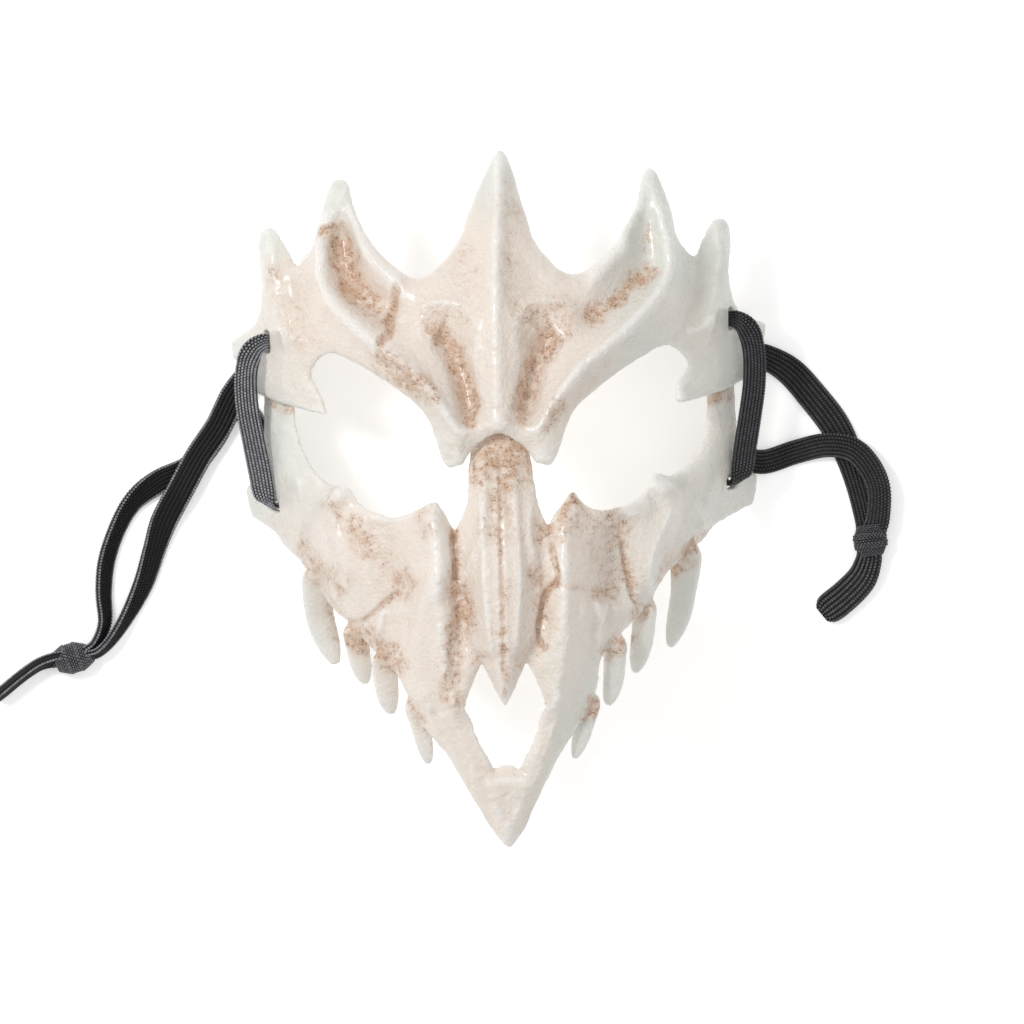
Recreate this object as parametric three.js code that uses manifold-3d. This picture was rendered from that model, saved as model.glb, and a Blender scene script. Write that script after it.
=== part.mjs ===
// Beast-skull mask: two thin cast plates, laced together at the temples with flat braided lace.
// It lies face up on a surface. Millimetres; +X to the viewer's right, +Y up the mask towards the
// horns, +Z out of the face. The floor is z = 0 and the mask's centre plane is x = 0.
import * as THREE from 'three';
import { mergeVertices } from 'three/addons/utils/BufferGeometryUtils.js';
import Module from 'manifold-3d';

const wasm = await Module();
wasm.setup();

// Driving dimensions of the plates
const wall = 3.0;
const edgeThickness = 1.4;
const edgeRounding = 4.0;
const innerStep = 3.6;
const edgeStep = 2.6;
const edgeClearance = 0.55;
const creaseClearance = 0.7;
const innerClearance = 0.62;
const sectionFullness = 2.6;
const ridgeSharpness = 1.4;
const flatShoulder = 0.55;
const reliefSamples = 24;
const slopeProbe = 0.5;

// Driving dimensions of the lace and its slots
const laceWidth = 8.4;
const laceThickness = 1.7;
const slotLength = 7.6;
const slotWidth = 3.6;
const slotDepth = 14.0;
const sides = ['left', 'right'];

// Cross-sections of the face that both plates follow
const faceSections = [
  { y: 120, crown: 41, halfWidth: 95 },
  { y: 90, crown: 53, halfWidth: 94 },
  { y: 55, crown: 65, halfWidth: 89.6 },
  { y: 20, crown: 70, halfWidth: 87 },
  { y: 0, crown: 73, halfWidth: 84.6 },
  { y: -30, crown: 75, halfWidth: 75 },
  { y: -60, crown: 72, halfWidth: 63 },
  { y: -90, crown: 64, halfWidth: 50 },
  { y: -120, crown: 54, halfWidth: 42 },
];

// Half outline of the brow plate, from the centre horn round to the nose arch. It is mirrored to the
// left, where left gives the other x and y of a point that the casting doesn't have alike on both sides.
const browOutline = [
  { at: 'centre horn tip', x: 2.5, y: 115, corner: true },
  { at: 'centre horn shoulder', x: 4.9, y: 112.4, left: [0.1, 112.4] },
  { at: 'centre horn flank', x: 9.5, y: 96.7, left: [7.5, 96.7] },
  { at: 'centre horn root', x: 14, y: 83.5, left: [13.2, 83.5] },
  { at: 'inner valley', x: 25.6, y: 73.4 },
  { at: 'middle horn root', x: 39.3, y: 82.2, left: [38.3, 82.2] },
  { at: 'middle horn flank', x: 47.6, y: 95, left: [46.4, 95] },
  { at: 'middle horn inner shoulder', x: 49.6, y: 105.4, left: [48.4, 104.8] },
  { at: 'middle horn tip', x: 52, y: 108.2, left: [51.2, 107.4] },
  { at: 'middle horn outer shoulder', x: 54.4, y: 105.8, left: [54, 104.8] },
  { at: 'middle horn outer flank', x: 58.6, y: 94, left: [57.8, 94] },
  { at: 'middle horn outer root', x: 60.6, y: 84.6 },
  { at: 'outer valley', x: 66.3, y: 78.2 },
  { at: 'outer horn root', x: 70, y: 83.8 },
  { at: 'outer horn inner shoulder', x: 73, y: 89.6, left: [73.2, 89.4] },
  { at: 'outer horn tip', x: 75.2, y: 91.2, left: [75.6, 91.6] },
  { at: 'outer horn outer shoulder', x: 77.4, y: 89.2, left: [78, 89.2] },
  { at: 'outer horn flank', x: 77.9, y: 81.8, left: [78.5, 81.8] },
  { at: 'outer horn waist', x: 77.1, y: 71, left: [77.7, 71] },
  { at: 'side tab root', x: 80.3, y: 60.3 },
  { at: 'side tab top corner', x: 89, y: 56, left: [89.2, 54], corner: true },
  { at: 'side tab foot', x: 89.2, y: 51.4, left: [88.6, 48.6], corner: true },
  { at: 'side tab arch', x: 85.4, y: 48.8, left: [84.6, 47.2] },
  { at: 'side tab lower corner', x: 85, y: 39.4, corner: true },
  { at: 'temple lower edge', x: 73.5, y: 34 },
  { at: 'temple spike tip', x: 60.6, y: 30.6, left: [58.4, 29.5], corner: true },
  { at: 'temple spike side', x: 61.2, y: 37.3 },
  { at: 'eye outer corner', x: 65, y: 43.2, left: [63.5, 43.6] },
  { at: 'eye outer top', x: 57.6, y: 49.8, left: [56.6, 50.1] },
  { at: 'eye top', x: 46.5, y: 45.2, left: [46.5, 45.9] },
  { at: 'eye inner top', x: 33.6, y: 36.4, left: [33.2, 37.1] },
  { at: 'eye inner side', x: 24.5, y: 27.8, left: [23.6, 28.2] },
  { at: 'eye inner foot', x: 19.3, y: 15 },
  { at: 'brow foot', x: 16.6, y: 11, corner: true },
  { at: 'nose arch foot', x: 12.2, y: 12, corner: true },
  { at: 'nose arch side', x: 8.4, y: 17.6 },
  { at: 'nose arch top', x: 0, y: 21.8 },
];

// Half outline of the face plate, from the beak tip up the right side to the hidden nasal root.
// The jaw edge dips between the teeth, and it hangs lower on the left.
const faceOutline = [
  { at: 'beak tip', x: 0, y: -115, corner: true },
  { at: 'beak side', x: 4.6, y: -110 },
  { at: 'beak flank', x: 10.3, y: -98.3, left: [11.5, -98.3] },
  { at: 'beak root', x: 18.2, y: -83.4, left: [20, -83.4], corner: true },
  { at: 'jaw edge by fourth tooth', x: 26, y: -72.4, left: [28, -73.4] },
  { at: 'jaw step over fourth tooth', x: 30.2, y: -64, left: [32, -65.8] },
  { at: 'jaw edge by third tooth', x: 32.4, y: -52.4, left: [35.4, -57.4] },
  { at: 'jaw dip by second tooth', x: 40.6, y: -43.6, left: [44, -48.2] },
  { at: 'jaw edge by second tooth', x: 48.6, y: -35.2, left: [51.4, -39.4] },
  { at: 'jaw edge by first tooth', x: 54.4, y: -25.6, left: [56.4, -35] },
  { at: 'jaw corner', x: 66.8, y: -15, left: [67.4, -18.6], corner: true },
  { at: 'cheek back edge', x: 70.2, y: -10.6, left: [72, -14.2] },
  { at: 'side tab root', x: 75.6, y: -7.4, left: [76, -8.8] },
  { at: 'side tab foot', x: 84.2, y: -3.2, corner: true },
  { at: 'side tab foot end', x: 86.4, y: 4.4, corner: true },
  { at: 'arm foot', x: 79.6, y: 12 },
  { at: 'arm outer edge', x: 78.3, y: 26 },
  { at: 'arm end outer', x: 78, y: 41, corner: true },
  { at: 'arm end inner', x: 70.6, y: 41, corner: true },
  { at: 'arm inner edge', x: 70.6, y: 25.6, left: [69.3, 25.6] },
  { at: 'eye outer foot', x: 66.4, y: 13.5, left: [65.3, 13.7] },
  { at: 'eye outer hollow', x: 58.6, y: 6.3 },
  { at: 'outer rim spike', x: 52.4, y: 7.2, left: [51.2, 4.8], corner: true },
  { at: 'rim behind spike', x: 47, y: -1, left: [47, -1.6] },
  { at: 'rim bottom', x: 37, y: -4.5, left: [37, -5.6] },
  { at: 'inner spike flank', x: 29, y: -3.6 },
  { at: 'inner rim spike', x: 24.2, y: 2, left: [21.8, -0.2], corner: true },
  { at: 'inner spike side', x: 18.6, y: -4.6 },
  { at: 'nasal notch', x: 15.8, y: -10, left: [15.4, -11], corner: true },
  { at: 'nasal flank', x: 12.3, y: -1.6, left: [11, -1.6] },
  { at: 'nasal waist', x: 10.6, y: 9.9, left: [10.1, 9.9] },
  { at: 'nasal root', x: 8.6, y: 24, corner: true },
  { at: 'nasal root top', x: 0, y: 27 },
];

// Half outline of the mouth hole, from the nasal spike that hangs in it down to the beak
const mouthOutline = [
  { at: 'nasal spike tip', x: 0, y: -68.3, corner: true },
  { at: 'nasal spike side', x: 3.1, y: -62.7 },
  { at: 'mouth notch', x: 7.4, y: -53, corner: true },
  { at: 'mouth shoulder', x: 10.6, y: -59.5 },
  { at: 'mouth corner', x: 13.7, y: -68, corner: true },
  { at: 'mouth side', x: 9.6, y: -79.9 },
  { at: 'mouth foot', x: 4.4, y: -89.6, corner: true },
  { at: 'beak bump', x: 0, y: -88.1 },
];

// The centre horn leans to the right: by shift at its tip, by nothing at its foot and beyond its sides
const hornLean = { shift: 2.4, foot: 60, tip: 115, inner: 9, outer: 24 };

// Relief lines on the right half, mirrored to the left. Each runs through its points; rise and reach
// (the half-width of its foot) are given at evenly spaced stations along it, and a negative rise sinks.
const browRelief = [
  { at: 'centre keel', profile: 'ridge', rise: [1.5, 5.5, 6.5, 4], reach: [6, 12, 15, 12],
    points: [[0, 114], [0, 24]] },
  { at: 'brow and horn crest', profile: 'ridge', rise: [3, 6, 6.5, 5, 2], reach: [7, 10, 12, 10, 6],
    points: [[13, 23], [26.4, 41], [42.9, 54.5], [55, 68], [58, 82], [52, 105]] },
  { at: 'middle horn rolled edge', profile: 'ridge', rise: [1.5, 2.5, 1], reach: [5, 5, 4],
    points: [[33, 72], [42, 83], [49.5, 103]] },
  { at: 'middle horn hollow', profile: 'round', rise: [-1.5, -4.5, -3], reach: [5, 8, 8],
    points: [[49.5, 92], [49, 75], [41, 66], [32, 60]] },
  { at: 'glabella groove', profile: 'round', rise: [-2, -4, -3], reach: [9, 7, 5],
    points: [[18, 57], [13, 46], [10.5, 38], [9.5, 28]] },
  { at: 'outer horn crest', profile: 'ridge', rise: [1, 3.5, 3.5, 1.5], reach: [5, 7, 9, 10],
    points: [[74.6, 90], [74.5, 76], [71.5, 62], [69, 48]] },
  { at: 'valley beside outer horn', profile: 'round', rise: [-1, -3, -1], reach: [5, 7, 6],
    points: [[66, 80], [65, 68], [62, 58]] },
];
const faceRelief = [
  { at: 'nasal tuck', profile: 'flat', rise: [-6, -6, -3, 0], reach: [20, 20, 18, 16],
    points: [[0, 30], [0, -8]] },
  { at: 'arm tuck', profile: 'flat', rise: [-6.5, -6.5, -3, 0], reach: [18, 18, 16, 14],
    points: [[74, 44], [73, 8]] },
  { at: 'nasal bone', profile: 'round', rise: [2, 4.5, 5, 5, 2.5], reach: [11, 14, 15, 12, 7],
    points: [[0, 16], [0, -66]] },
  { at: 'nasal centre groove', profile: 'round', rise: [-1.2, -1.5, -1.5, -0.6], reach: [3.6, 3.6, 3.6, 3],
    points: [[0, 12], [0, -52]] },
  { at: 'inner cheek ridge', profile: 'ridge', rise: [2.5, 4, 4.5, 3], reach: [6, 9, 9, 7],
    points: [[23, 1], [21.8, -20], [21, -45], [16.5, -68]] },
  { at: 'cheek seam', profile: 'round', rise: [-0.5, -2.5, -2.5, -1], reach: [4, 5, 5, 4],
    points: [[15, -13], [13.6, -24], [13, -40], [9.5, -52]] },
  { at: 'outer cheek crest', profile: 'ridge', rise: [2.5, 4.5, 4, 1], reach: [7, 10, 10, 8],
    points: [[51.5, 6], [56.5, -4], [52, -20], [48, -38]] },
  { at: 'cheek hollow', profile: 'round', rise: [-1, -3, -3, -1], reach: [8, 11, 11, 8],
    points: [[40, -5], [37, -20], [34, -38], [28, -56]] },
  { at: 'arm bar', profile: 'round', rise: [1, 2, 1.5], reach: [7, 7, 7],
    points: [[74, 24], [70, 10], [66, -4]] },
  { at: 'beak bar', profile: 'ridge', rise: [2, 3.5, 3], reach: [7, 7, 7],
    points: [[17, -70], [10, -90], [0, -112]] },
];

// Teeth: middle line from the root under the cheek through its middle to the tip, and the half-widths
// of the root and the middle. side is 1 for the right.
const teeth = [
  { side: 1, root: [61.1, -14.8], middle: [59, -34.6], tip: [54.6, -50], rootHalf: 6, midHalf: 4.3 },
  { side: 1, root: [47, -32.6], middle: [45.4, -47.6], tip: [42.8, -58.2], rootHalf: 4.2, midHalf: 3.9 },
  { side: 1, root: [36.6, -45], middle: [35.9, -59], tip: [33.6, -68.8], rootHalf: 4.3, midHalf: 3.7 },
  { side: 1, root: [29.2, -65], middle: [24.8, -78.3], tip: [22.2, -86], rootHalf: 3.6, midHalf: 3.2 },
  { side: -1, root: [61, -19.8], middle: [61, -37], tip: [56, -53], rootHalf: 6, midHalf: 4.8 },
  { side: -1, root: [49.6, -39.4], middle: [47.8, -52], tip: [46.2, -59.8], rootHalf: 4.6, midHalf: 3.9 },
  { side: -1, root: [39.8, -49], middle: [39.1, -62], tip: [37.8, -70], rootHalf: 4.7, midHalf: 4.1 },
  { side: -1, root: [31, -64.6], middle: [27.6, -77.3], tip: [25.8, -86.8], rootHalf: 3.6, midHalf: 3.2 },
];
const toothSetBack = 3.6;
const toothFlatness = 0.62;
const toothSides = 10;
const toothSections = 8;
const toothTipRound = 0.9;
const toothRootLength = 0.22;
const toothRootRound = 0.8;

// How far the slots and the lace at them sit from their mirrored places, along X, Y and Z
const slotShift = { left: [0.4, -1.7, 0.4], right: [0.8, 2.2, -1.1] };

// Lace slots on the right side: place, and the turn of the slot's long side from the Y axis
const slots = {
  upper: { x: 76.5, y: 55.6, turn: 0 },
  lower: { x: 75.8, y: 1.2, turn: 90 },
};

// Which way the flat side of the lace looks, on the right side (mirrored on the left)
const laceFaces = {
  slotUpper: [-0.56, 0, 0.83],
  foldUpper: [-0.2, 0, 1],
  outward: [0.45, 0, 0.9],
  slotLowerFront: [0.7, -0.6, 0.4],
  slotLower: [0, -1, 0],
  hollowLower: [-0.88, -0.2, -0.47],
  hollowUpper: [-1, 0, 0.1],
  turnUpper: [-0.6, 0, -0.8],
  down: [0, 0, -1],
};

// The front run of the lace from the upper to the lower slot, the same on both sides. gather is the
// share of its full width that the lace has where a slot pulls it together.
const stitchRoute = [
  { x: 75.8, y: 55.6, z: 21.5, face: 'slotUpper', gather: 0.62 },
  { x: 78.4, y: 55.3, z: 23.2, face: 'slotUpper', gather: 0.72 },
  { x: 81.4, y: 53, z: 24, face: 'foldUpper', gather: 0.88 },
  { x: 83.2, y: 48.6, z: 23.2, face: 'outward' },
  { x: 84, y: 42, z: 21.8, face: 'outward' },
  { x: 83.6, y: 33, z: 20.6, face: 'outward' },
  { x: 82, y: 23, z: 19.8, face: 'outward' },
  { x: 80.2, y: 13, z: 21, face: 'outward' },
  { x: 79, y: 5.6, z: 21.6, face: 'outward', gather: 0.94 },
  { x: 77.2, y: 2.2, z: 20, face: 'slotLowerFront', gather: 0.78 },
  { x: 74.9, y: 1.2, z: 18, face: 'slotLower', gather: 0.62 },
];

// The runs behind the plates, from each slot down into the hollow, the same on both sides
const upperDescent = [
  { x: 74.5, y: 55.6, z: 20.6, face: 'slotUpper', gather: 0.62 },
  { x: 72.4, y: 55.2, z: 18.6, face: 'slotUpper', gather: 0.72 },
  { x: 71.4, y: 54, z: 14.2, face: 'hollowUpper' },
  { x: 73.4, y: 51.6, z: 9, face: 'turnUpper' },
  { x: 77.4, y: 48.4, z: 5.4, face: 'down' },
];
const lowerDescent = [
  { x: 74, y: 1.2, z: 17.4, face: 'slotLower', gather: 0.62 },
  { x: 71.8, y: 2, z: 15.6, face: 'slotLower', gather: 0.72 },
  { x: 70.4, y: 6.4, z: 11.4, face: 'hollowLower' },
];

// The free runs on the floor. roll turns the lace on edge, in degrees; over lifts it clear of a run
// that it crosses. The right tail is broader than the lace, as its two ends lie a little apart.
const floorRoutes = {
  strand_upper_left: [
    { x: -82, y: 43.4, roll: 0, over: 2.4 },
    { x: -88, y: 36.6, roll: 0, over: 2.1 },
    { x: -93.4, y: 26.3, roll: 0, over: 2.1 },
    { x: -100.2, y: 16.6, roll: 0, over: 2.6 },
    { x: -106.2, y: 6.1, roll: 0, over: 3 },
    { x: -112.2, y: -4.6, roll: -8, over: 0.9 },
    { x: -115.6, y: -13.8, roll: -24, over: 0 },
    { x: -119.5, y: -25, roll: -42, over: 0 },
    { x: -125.1, y: -35.7, roll: -62, over: 0 },
    { x: -130.4, y: -43.4, roll: -72, over: 0 },
    { x: -135, y: -48.4, roll: -76, over: 0 },
  ],
  strand_lower_left: [
    { x: -72.4, y: 14, roll: 0, over: 5.6 },
    { x: -79.2, y: 23.6, roll: 0, over: 1.6 },
    { x: -84.2, y: 30.6, roll: 0, over: 0 },
    { x: -89.6, y: 31.6, roll: 0, over: 0 },
    { x: -95.2, y: 22.4, roll: 0, over: 0 },
    { x: -103, y: 13.4, roll: 0, over: 0 },
    { x: -113.6, y: 8.6, roll: -6, over: 0 },
    { x: -122.1, y: 2.4, roll: -40, over: 0 },
    { x: -127.6, y: -6.4, roll: -52, over: 0 },
    { x: -131.6, y: -17.4, roll: -54, over: 0 },
    { x: -132.8, y: -28, roll: -58, over: 0 },
    { x: -132.6, y: -37.6, roll: -66, over: 0 },
    { x: -136.6, y: -44.4, roll: -76, over: 0 },
  ],
  strand_upper_right: [
    { x: 82, y: 46.6, roll: 0, over: 1.4 },
    { x: 88.8, y: 44.8, roll: 0, over: 0 },
    { x: 96.6, y: 39.9, roll: 0, over: 0 },
    { x: 104, y: 31.3, roll: 0, over: 0 },
    { x: 110.9, y: 21.7, roll: 0, over: 0 },
    { x: 115.2, y: 11.9, roll: 0, over: 0 },
    { x: 118.2, y: 1.4, roll: 0, over: 0 },
    { x: 120.8, y: -10, roll: 0, over: 0 },
  ],
  strand_lower_right: [
    { x: 72.4, y: 11.6, roll: 0, over: 6.4 },
    { x: 78.6, y: 12, roll: 0, over: 1.6 },
    { x: 87, y: 10.2, roll: 8, over: 0 },
    { x: 97.6, y: 13.2, roll: 14, over: 0 },
    { x: 107.6, y: 15.2, roll: 0, over: 2.4 },
    { x: 116.2, y: 13.8, roll: 0, over: 2.6 },
    { x: 121.8, y: 8.2, roll: 8, over: 2.6 },
    { x: 125, y: 0.4, roll: 24, over: 2.2 },
    { x: 124.4, y: -9.6, roll: 24, over: 2.6 },
  ],
  tail_left: [
    { x: -149.8, y: -49.7, roll: -72, over: 0 },
    { x: -155, y: -51.2, roll: -78, over: 0 },
    { x: -160.6, y: -54.8, roll: -80, over: 0 },
    { x: -166, y: -59, roll: -80, over: 0 },
    { x: -169.4, y: -61.6, roll: -80, over: 0 },
  ],
  tail_right: [
    { x: 120.9, y: -23.6, roll: 8, over: 0.4 },
    { x: 118.4, y: -29.4, roll: 4, over: 0, gather: 1.15 },
    { x: 113, y: -34.8, roll: 0, over: 0, gather: 1.15 },
    { x: 107.2, y: -39.2, roll: 0, over: 0, gather: 1.15 },
    { x: 105, y: -40.9, roll: 0, over: 0, gather: 0.7 },
  ],
};
const floorClearance = 0.1;
const tailLayers = 2;

// Overhand knots: place, half sizes along and across, and the turn of the long axis from +X
const knots = {
  knot_left: { x: -142.6, y: -49.1, halfLength: 6.6, halfWidth: 4.4, halfHeight: 4.2, turn: 17.8 },
  knot_right: { x: 121.7, y: -16.7, halfLength: 6.2, halfWidth: 5.3, halfHeight: 3.8, turn: 90 },
};

const knotSides = 14;
const knotRings = 10;

// Height of the plain face form, before relief
function sectionValue(key, y) {
  const last = faceSections.length - 1;
  let i = 0;
  while (i < last - 1 && faceSections[i + 1].y > y) i += 1;
  const row = (k) => faceSections[THREE.MathUtils.clamp(k, 0, last)];
  const span = row(i + 1).y - row(i).y;
  const t = THREE.MathUtils.clamp((y - row(i).y) / span, 0, 1);
  const slopeAt = (k) => (row(k + 1)[key] - row(k - 1)[key]) / (row(k + 1).y - row(k - 1).y);
  const startSlope = slopeAt(i) * span;
  const endSlope = slopeAt(i + 1) * span;
  const start = row(i)[key];
  const end = row(i + 1)[key];
  const bend = 2 * (start - end) + startSlope + endSlope;
  const lean = 3 * (end - start) - 2 * startSlope - endSlope;
  return ((bend * t + lean) * t + startSlope) * t + start;
}

function formHeight(x, y) {
  const across = Math.abs(x) / sectionValue('halfWidth', y);
  return sectionValue('crown', y) * (1 - across ** sectionFullness);
}

function formNormal(x, y) {
  const slopeX = (formHeight(x + slopeProbe, y) - formHeight(x - slopeProbe, y)) / (2 * slopeProbe);
  const slopeY = (formHeight(x, y + slopeProbe) - formHeight(x, y - slopeProbe)) / (2 * slopeProbe);
  return new THREE.Vector3(-slopeX, -slopeY, 1).normalize();
}

// Relief at a point: each line adds its rise, faded over its reach by its profile
const profiles = {
  ridge: (t) => (1 - t) ** ridgeSharpness,
  round: (t) => (1 - t * t) ** 2,
  flat: (t) => 1 - THREE.MathUtils.smoothstep(t, flatShoulder, 1),
};

function stationValue(stations, u) {
  const place = u * (stations.length - 1);
  const i = Math.min(Math.floor(place), stations.length - 2);
  return THREE.MathUtils.lerp(stations[i], stations[i + 1], place - i);
}

function reliefLines(rows) {
  return rows.map((row) => {
    const curve = new THREE.SplineCurve(row.points.map(([x, y]) => new THREE.Vector2(x, y)));
    return { ...row, crease: row.profile === 'ridge', samples: curve.getSpacedPoints(reliefSamples) };
  });
}

function leanAt(x, y) {
  const up = THREE.MathUtils.smoothstep(y, hornLean.foot, hornLean.tip);
  return hornLean.shift * up * (1 - THREE.MathUtils.smoothstep(Math.abs(x), hornLean.inner, hornLean.outer));
}

function reliefHeight(lines, x, y) {
  const point = new THREE.Vector2(Math.abs(x - leanAt(x, y)), y);
  const closest = new THREE.Vector2();
  let total = 0;
  for (const line of lines) {
    const count = line.samples.length - 1;
    let best = Infinity;
    let along = 0;
    for (let i = 0; i < count; i += 1) {
      const start = line.samples[i];
      const run = line.samples[i + 1].clone().sub(start);
      const t = THREE.MathUtils.clamp(point.clone().sub(start).dot(run) / run.lengthSq(), 0, 1);
      const distance = closest.copy(start).addScaledVector(run, t).distanceTo(point);
      if (distance < best) {
        best = distance;
        along = (i + t) / count;
      }
    }
    const t = best / stationValue(line.reach, along);
    if (t < 1) total += stationValue(line.rise, along) * profiles[line.profile](t);
  }
  return total;
}

// Closed outline of a half table and its mirror image, evenly sampled: sharp at corners, spline between
function outlineLoop(rows) {
  const mirrored = rows.slice(1).reverse().filter(({ x }) => x > 0).map((row) => {
    const [x, y] = row.left ?? [row.x, row.y];
    return { ...row, x: -x, y };
  });
  const loop = [...rows, ...mirrored, rows[0]];
  const samples = [];
  let run = [loop[0]];
  for (const row of loop.slice(1)) {
    run.push(row);
    if (row.corner) {
      const curve = new THREE.SplineCurve(run.map(({ x, y }) => new THREE.Vector2(x, y)));
      const steps = Math.max(2, Math.round(curve.getLength() / edgeStep));
      samples.push(...curve.getSpacedPoints(steps).slice(0, -1));
      run = [row];
    }
  }
  return samples;
}

function edgeDistance(loops, x, y) {
  const point = new THREE.Vector2(x, y);
  const closest = new THREE.Vector2();
  let best = Infinity;
  for (const loop of loops) {
    loop.forEach((start, i) => {
      const run = loop[(i + 1) % loop.length].clone().sub(start);
      const t = THREE.MathUtils.clamp(point.clone().sub(start).dot(run) / run.lengthSq(), 0, 1);
      best = Math.min(best, closest.copy(start).addScaledVector(run, t).distanceTo(point));
    });
  }
  return best;
}

function isInside(loops, x, y) {
  let inside = false;
  for (const loop of loops) {
    loop.forEach((a, i) => {
      const b = loop[(i + 1) % loop.length];
      const crosses = (a.y > y) !== (b.y > y) && x < a.x + ((y - a.y) / (b.y - a.y)) * (b.x - a.x);
      if (crosses) inside = !inside;
    });
  }
  return inside;
}

// Delaunay triangles of a set of points, by adding them one at a time
function circumcircle(points, a, b, c) {
  const ax = points[a].x - points[c].x;
  const ay = points[a].y - points[c].y;
  const bx = points[b].x - points[c].x;
  const by = points[b].y - points[c].y;
  const twiceArea = 2 * (ax * by - ay * bx);
  const aa = ax * ax + ay * ay;
  const bb = bx * bx + by * by;
  const ux = (by * aa - ay * bb) / twiceArea;
  const uy = (ax * bb - bx * aa) / twiceArea;
  return { corners: [a, b, c], x: points[c].x + ux, y: points[c].y + uy, radiusSq: ux * ux + uy * uy };
}

function delaunay(samples) {
  const far = 1e4;
  const count = samples.length;
  const frame = [new THREE.Vector2(-far, -far), new THREE.Vector2(far, -far), new THREE.Vector2(0, far)];
  const points = [...samples, ...frame];
  let triangles = [circumcircle(points, count, count + 1, count + 2)];
  for (let i = 0; i < count; i += 1) {
    const edges = new Map();
    const kept = [];
    for (const triangle of triangles) {
      const dx = points[i].x - triangle.x;
      const dy = points[i].y - triangle.y;
      if (dx * dx + dy * dy > triangle.radiusSq) {
        kept.push(triangle);
        continue;
      }
      triangle.corners.forEach((a, k) => {
        const b = triangle.corners[(k + 1) % 3];
        if (!edges.delete(`${b},${a}`)) edges.set(`${a},${b}`, [a, b]);
      });
    }
    for (const [a, b] of edges.values()) kept.push(circumcircle(points, a, b, i));
    triangles = kept;
  }
  return triangles.map(({ corners }) => corners).filter((corners) => corners.every((k) => k < count));
}

// One cast plate: a front and a back sheet over the outline, joined along every edge.
// Points along the crests and grooves come before the even inner ones, so that creases stay crisp.
function plateGeometry(loops, relief) {
  const lines = reliefLines(relief);
  const points = loops.flat();
  const addInner = (x, y, clearance) => {
    if (!isInside(loops, x, y) || edgeDistance(loops, x, y) < edgeClearance * innerStep) return;
    const near = points.some((p) => Math.hypot(p.x - x, p.y - y) < clearance * innerStep);
    if (!near) points.push(new THREE.Vector2(x, y));
  };
  for (const line of lines.filter(({ crease }) => crease)) {
    for (const { x, y } of line.samples) {
      addInner(x + leanAt(x, y), y, creaseClearance);
      addInner(-x + leanAt(x, y), y, creaseClearance);
    }
  }
  const xs = points.map(({ x }) => x);
  const ys = points.map(({ y }) => y);
  const rowStep = innerStep * Math.sqrt(0.75);
  const columns = Math.ceil(Math.max(...xs) / innerStep) + 1;
  let row = 0;
  for (let y = Math.min(...ys); y < Math.max(...ys); y += rowStep) {
    row += 1;
    for (let k = -columns; k <= columns; k += 1) {
      addInner((k + (row % 2) / 2) * innerStep, y, innerClearance);
    }
  }
  const triangles = delaunay(points).filter((corners) => {
    const x = corners.reduce((sum, k) => sum + points[k].x / 3, 0);
    const y = corners.reduce((sum, k) => sum + points[k].y / 3, 0);
    return isInside(loops, x, y);
  });
  const front = [];
  const back = [];
  for (const { x, y } of points) {
    const inset = Math.min(edgeDistance(loops, x, y) / edgeRounding, 1);
    const roll = (wall - edgeThickness) * (1 - Math.sqrt(1 - (1 - inset) ** 2));
    const z = formHeight(x, y) + reliefHeight(lines, x, y);
    const normal = formNormal(x, y);
    back.push(new THREE.Vector3(x, y, z).addScaledVector(normal, -wall));
    front.push(new THREE.Vector3(x, y, z - roll));
  }
  const count = points.length;
  const index = [];
  const edges = new Map();
  for (const [a, b, c] of triangles) {
    index.push(a, b, c, c + count, b + count, a + count);
    for (const [p, q] of [[a, b], [b, c], [c, a]]) {
      if (!edges.delete(`${q},${p}`)) edges.set(`${p},${q}`, [p, q]);
    }
  }
  for (const [p, q] of edges.values()) index.push(q, p, p + count, q, p + count, q + count);
  const geometry = new THREE.BufferGeometry().setFromPoints([...front, ...back]);
  geometry.setIndex(index);
  return geometry;
}

// A closed skin round a row of rings of points, with a point at the middle of each end
function skinRings(rings) {
  const sides = rings[0].length;
  const middle = (ring) => ring.reduce((sum, p) => sum.addScaledVector(p, 1 / sides), new THREE.Vector3());
  const points = [...rings.flat(), middle(rings[0]), middle(rings[rings.length - 1])];
  const startPole = points.length - 2;
  const endPole = points.length - 1;
  const lastRing = (rings.length - 1) * sides;
  const index = [];
  for (let k = 0; k < sides; k += 1) {
    const next = (k + 1) % sides;
    for (let i = 0; i < rings.length - 1; i += 1) {
      const low = i * sides;
      const high = low + sides;
      index.push(low + k, low + next, high + next, low + k, high + next, high + k);
    }
    index.push(startPole, next, k);
    index.push(endPole, lastRing + k, lastRing + next);
  }
  const geometry = new THREE.BufferGeometry().setFromPoints(points);
  geometry.setIndex(index);
  return geometry;
}

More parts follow.
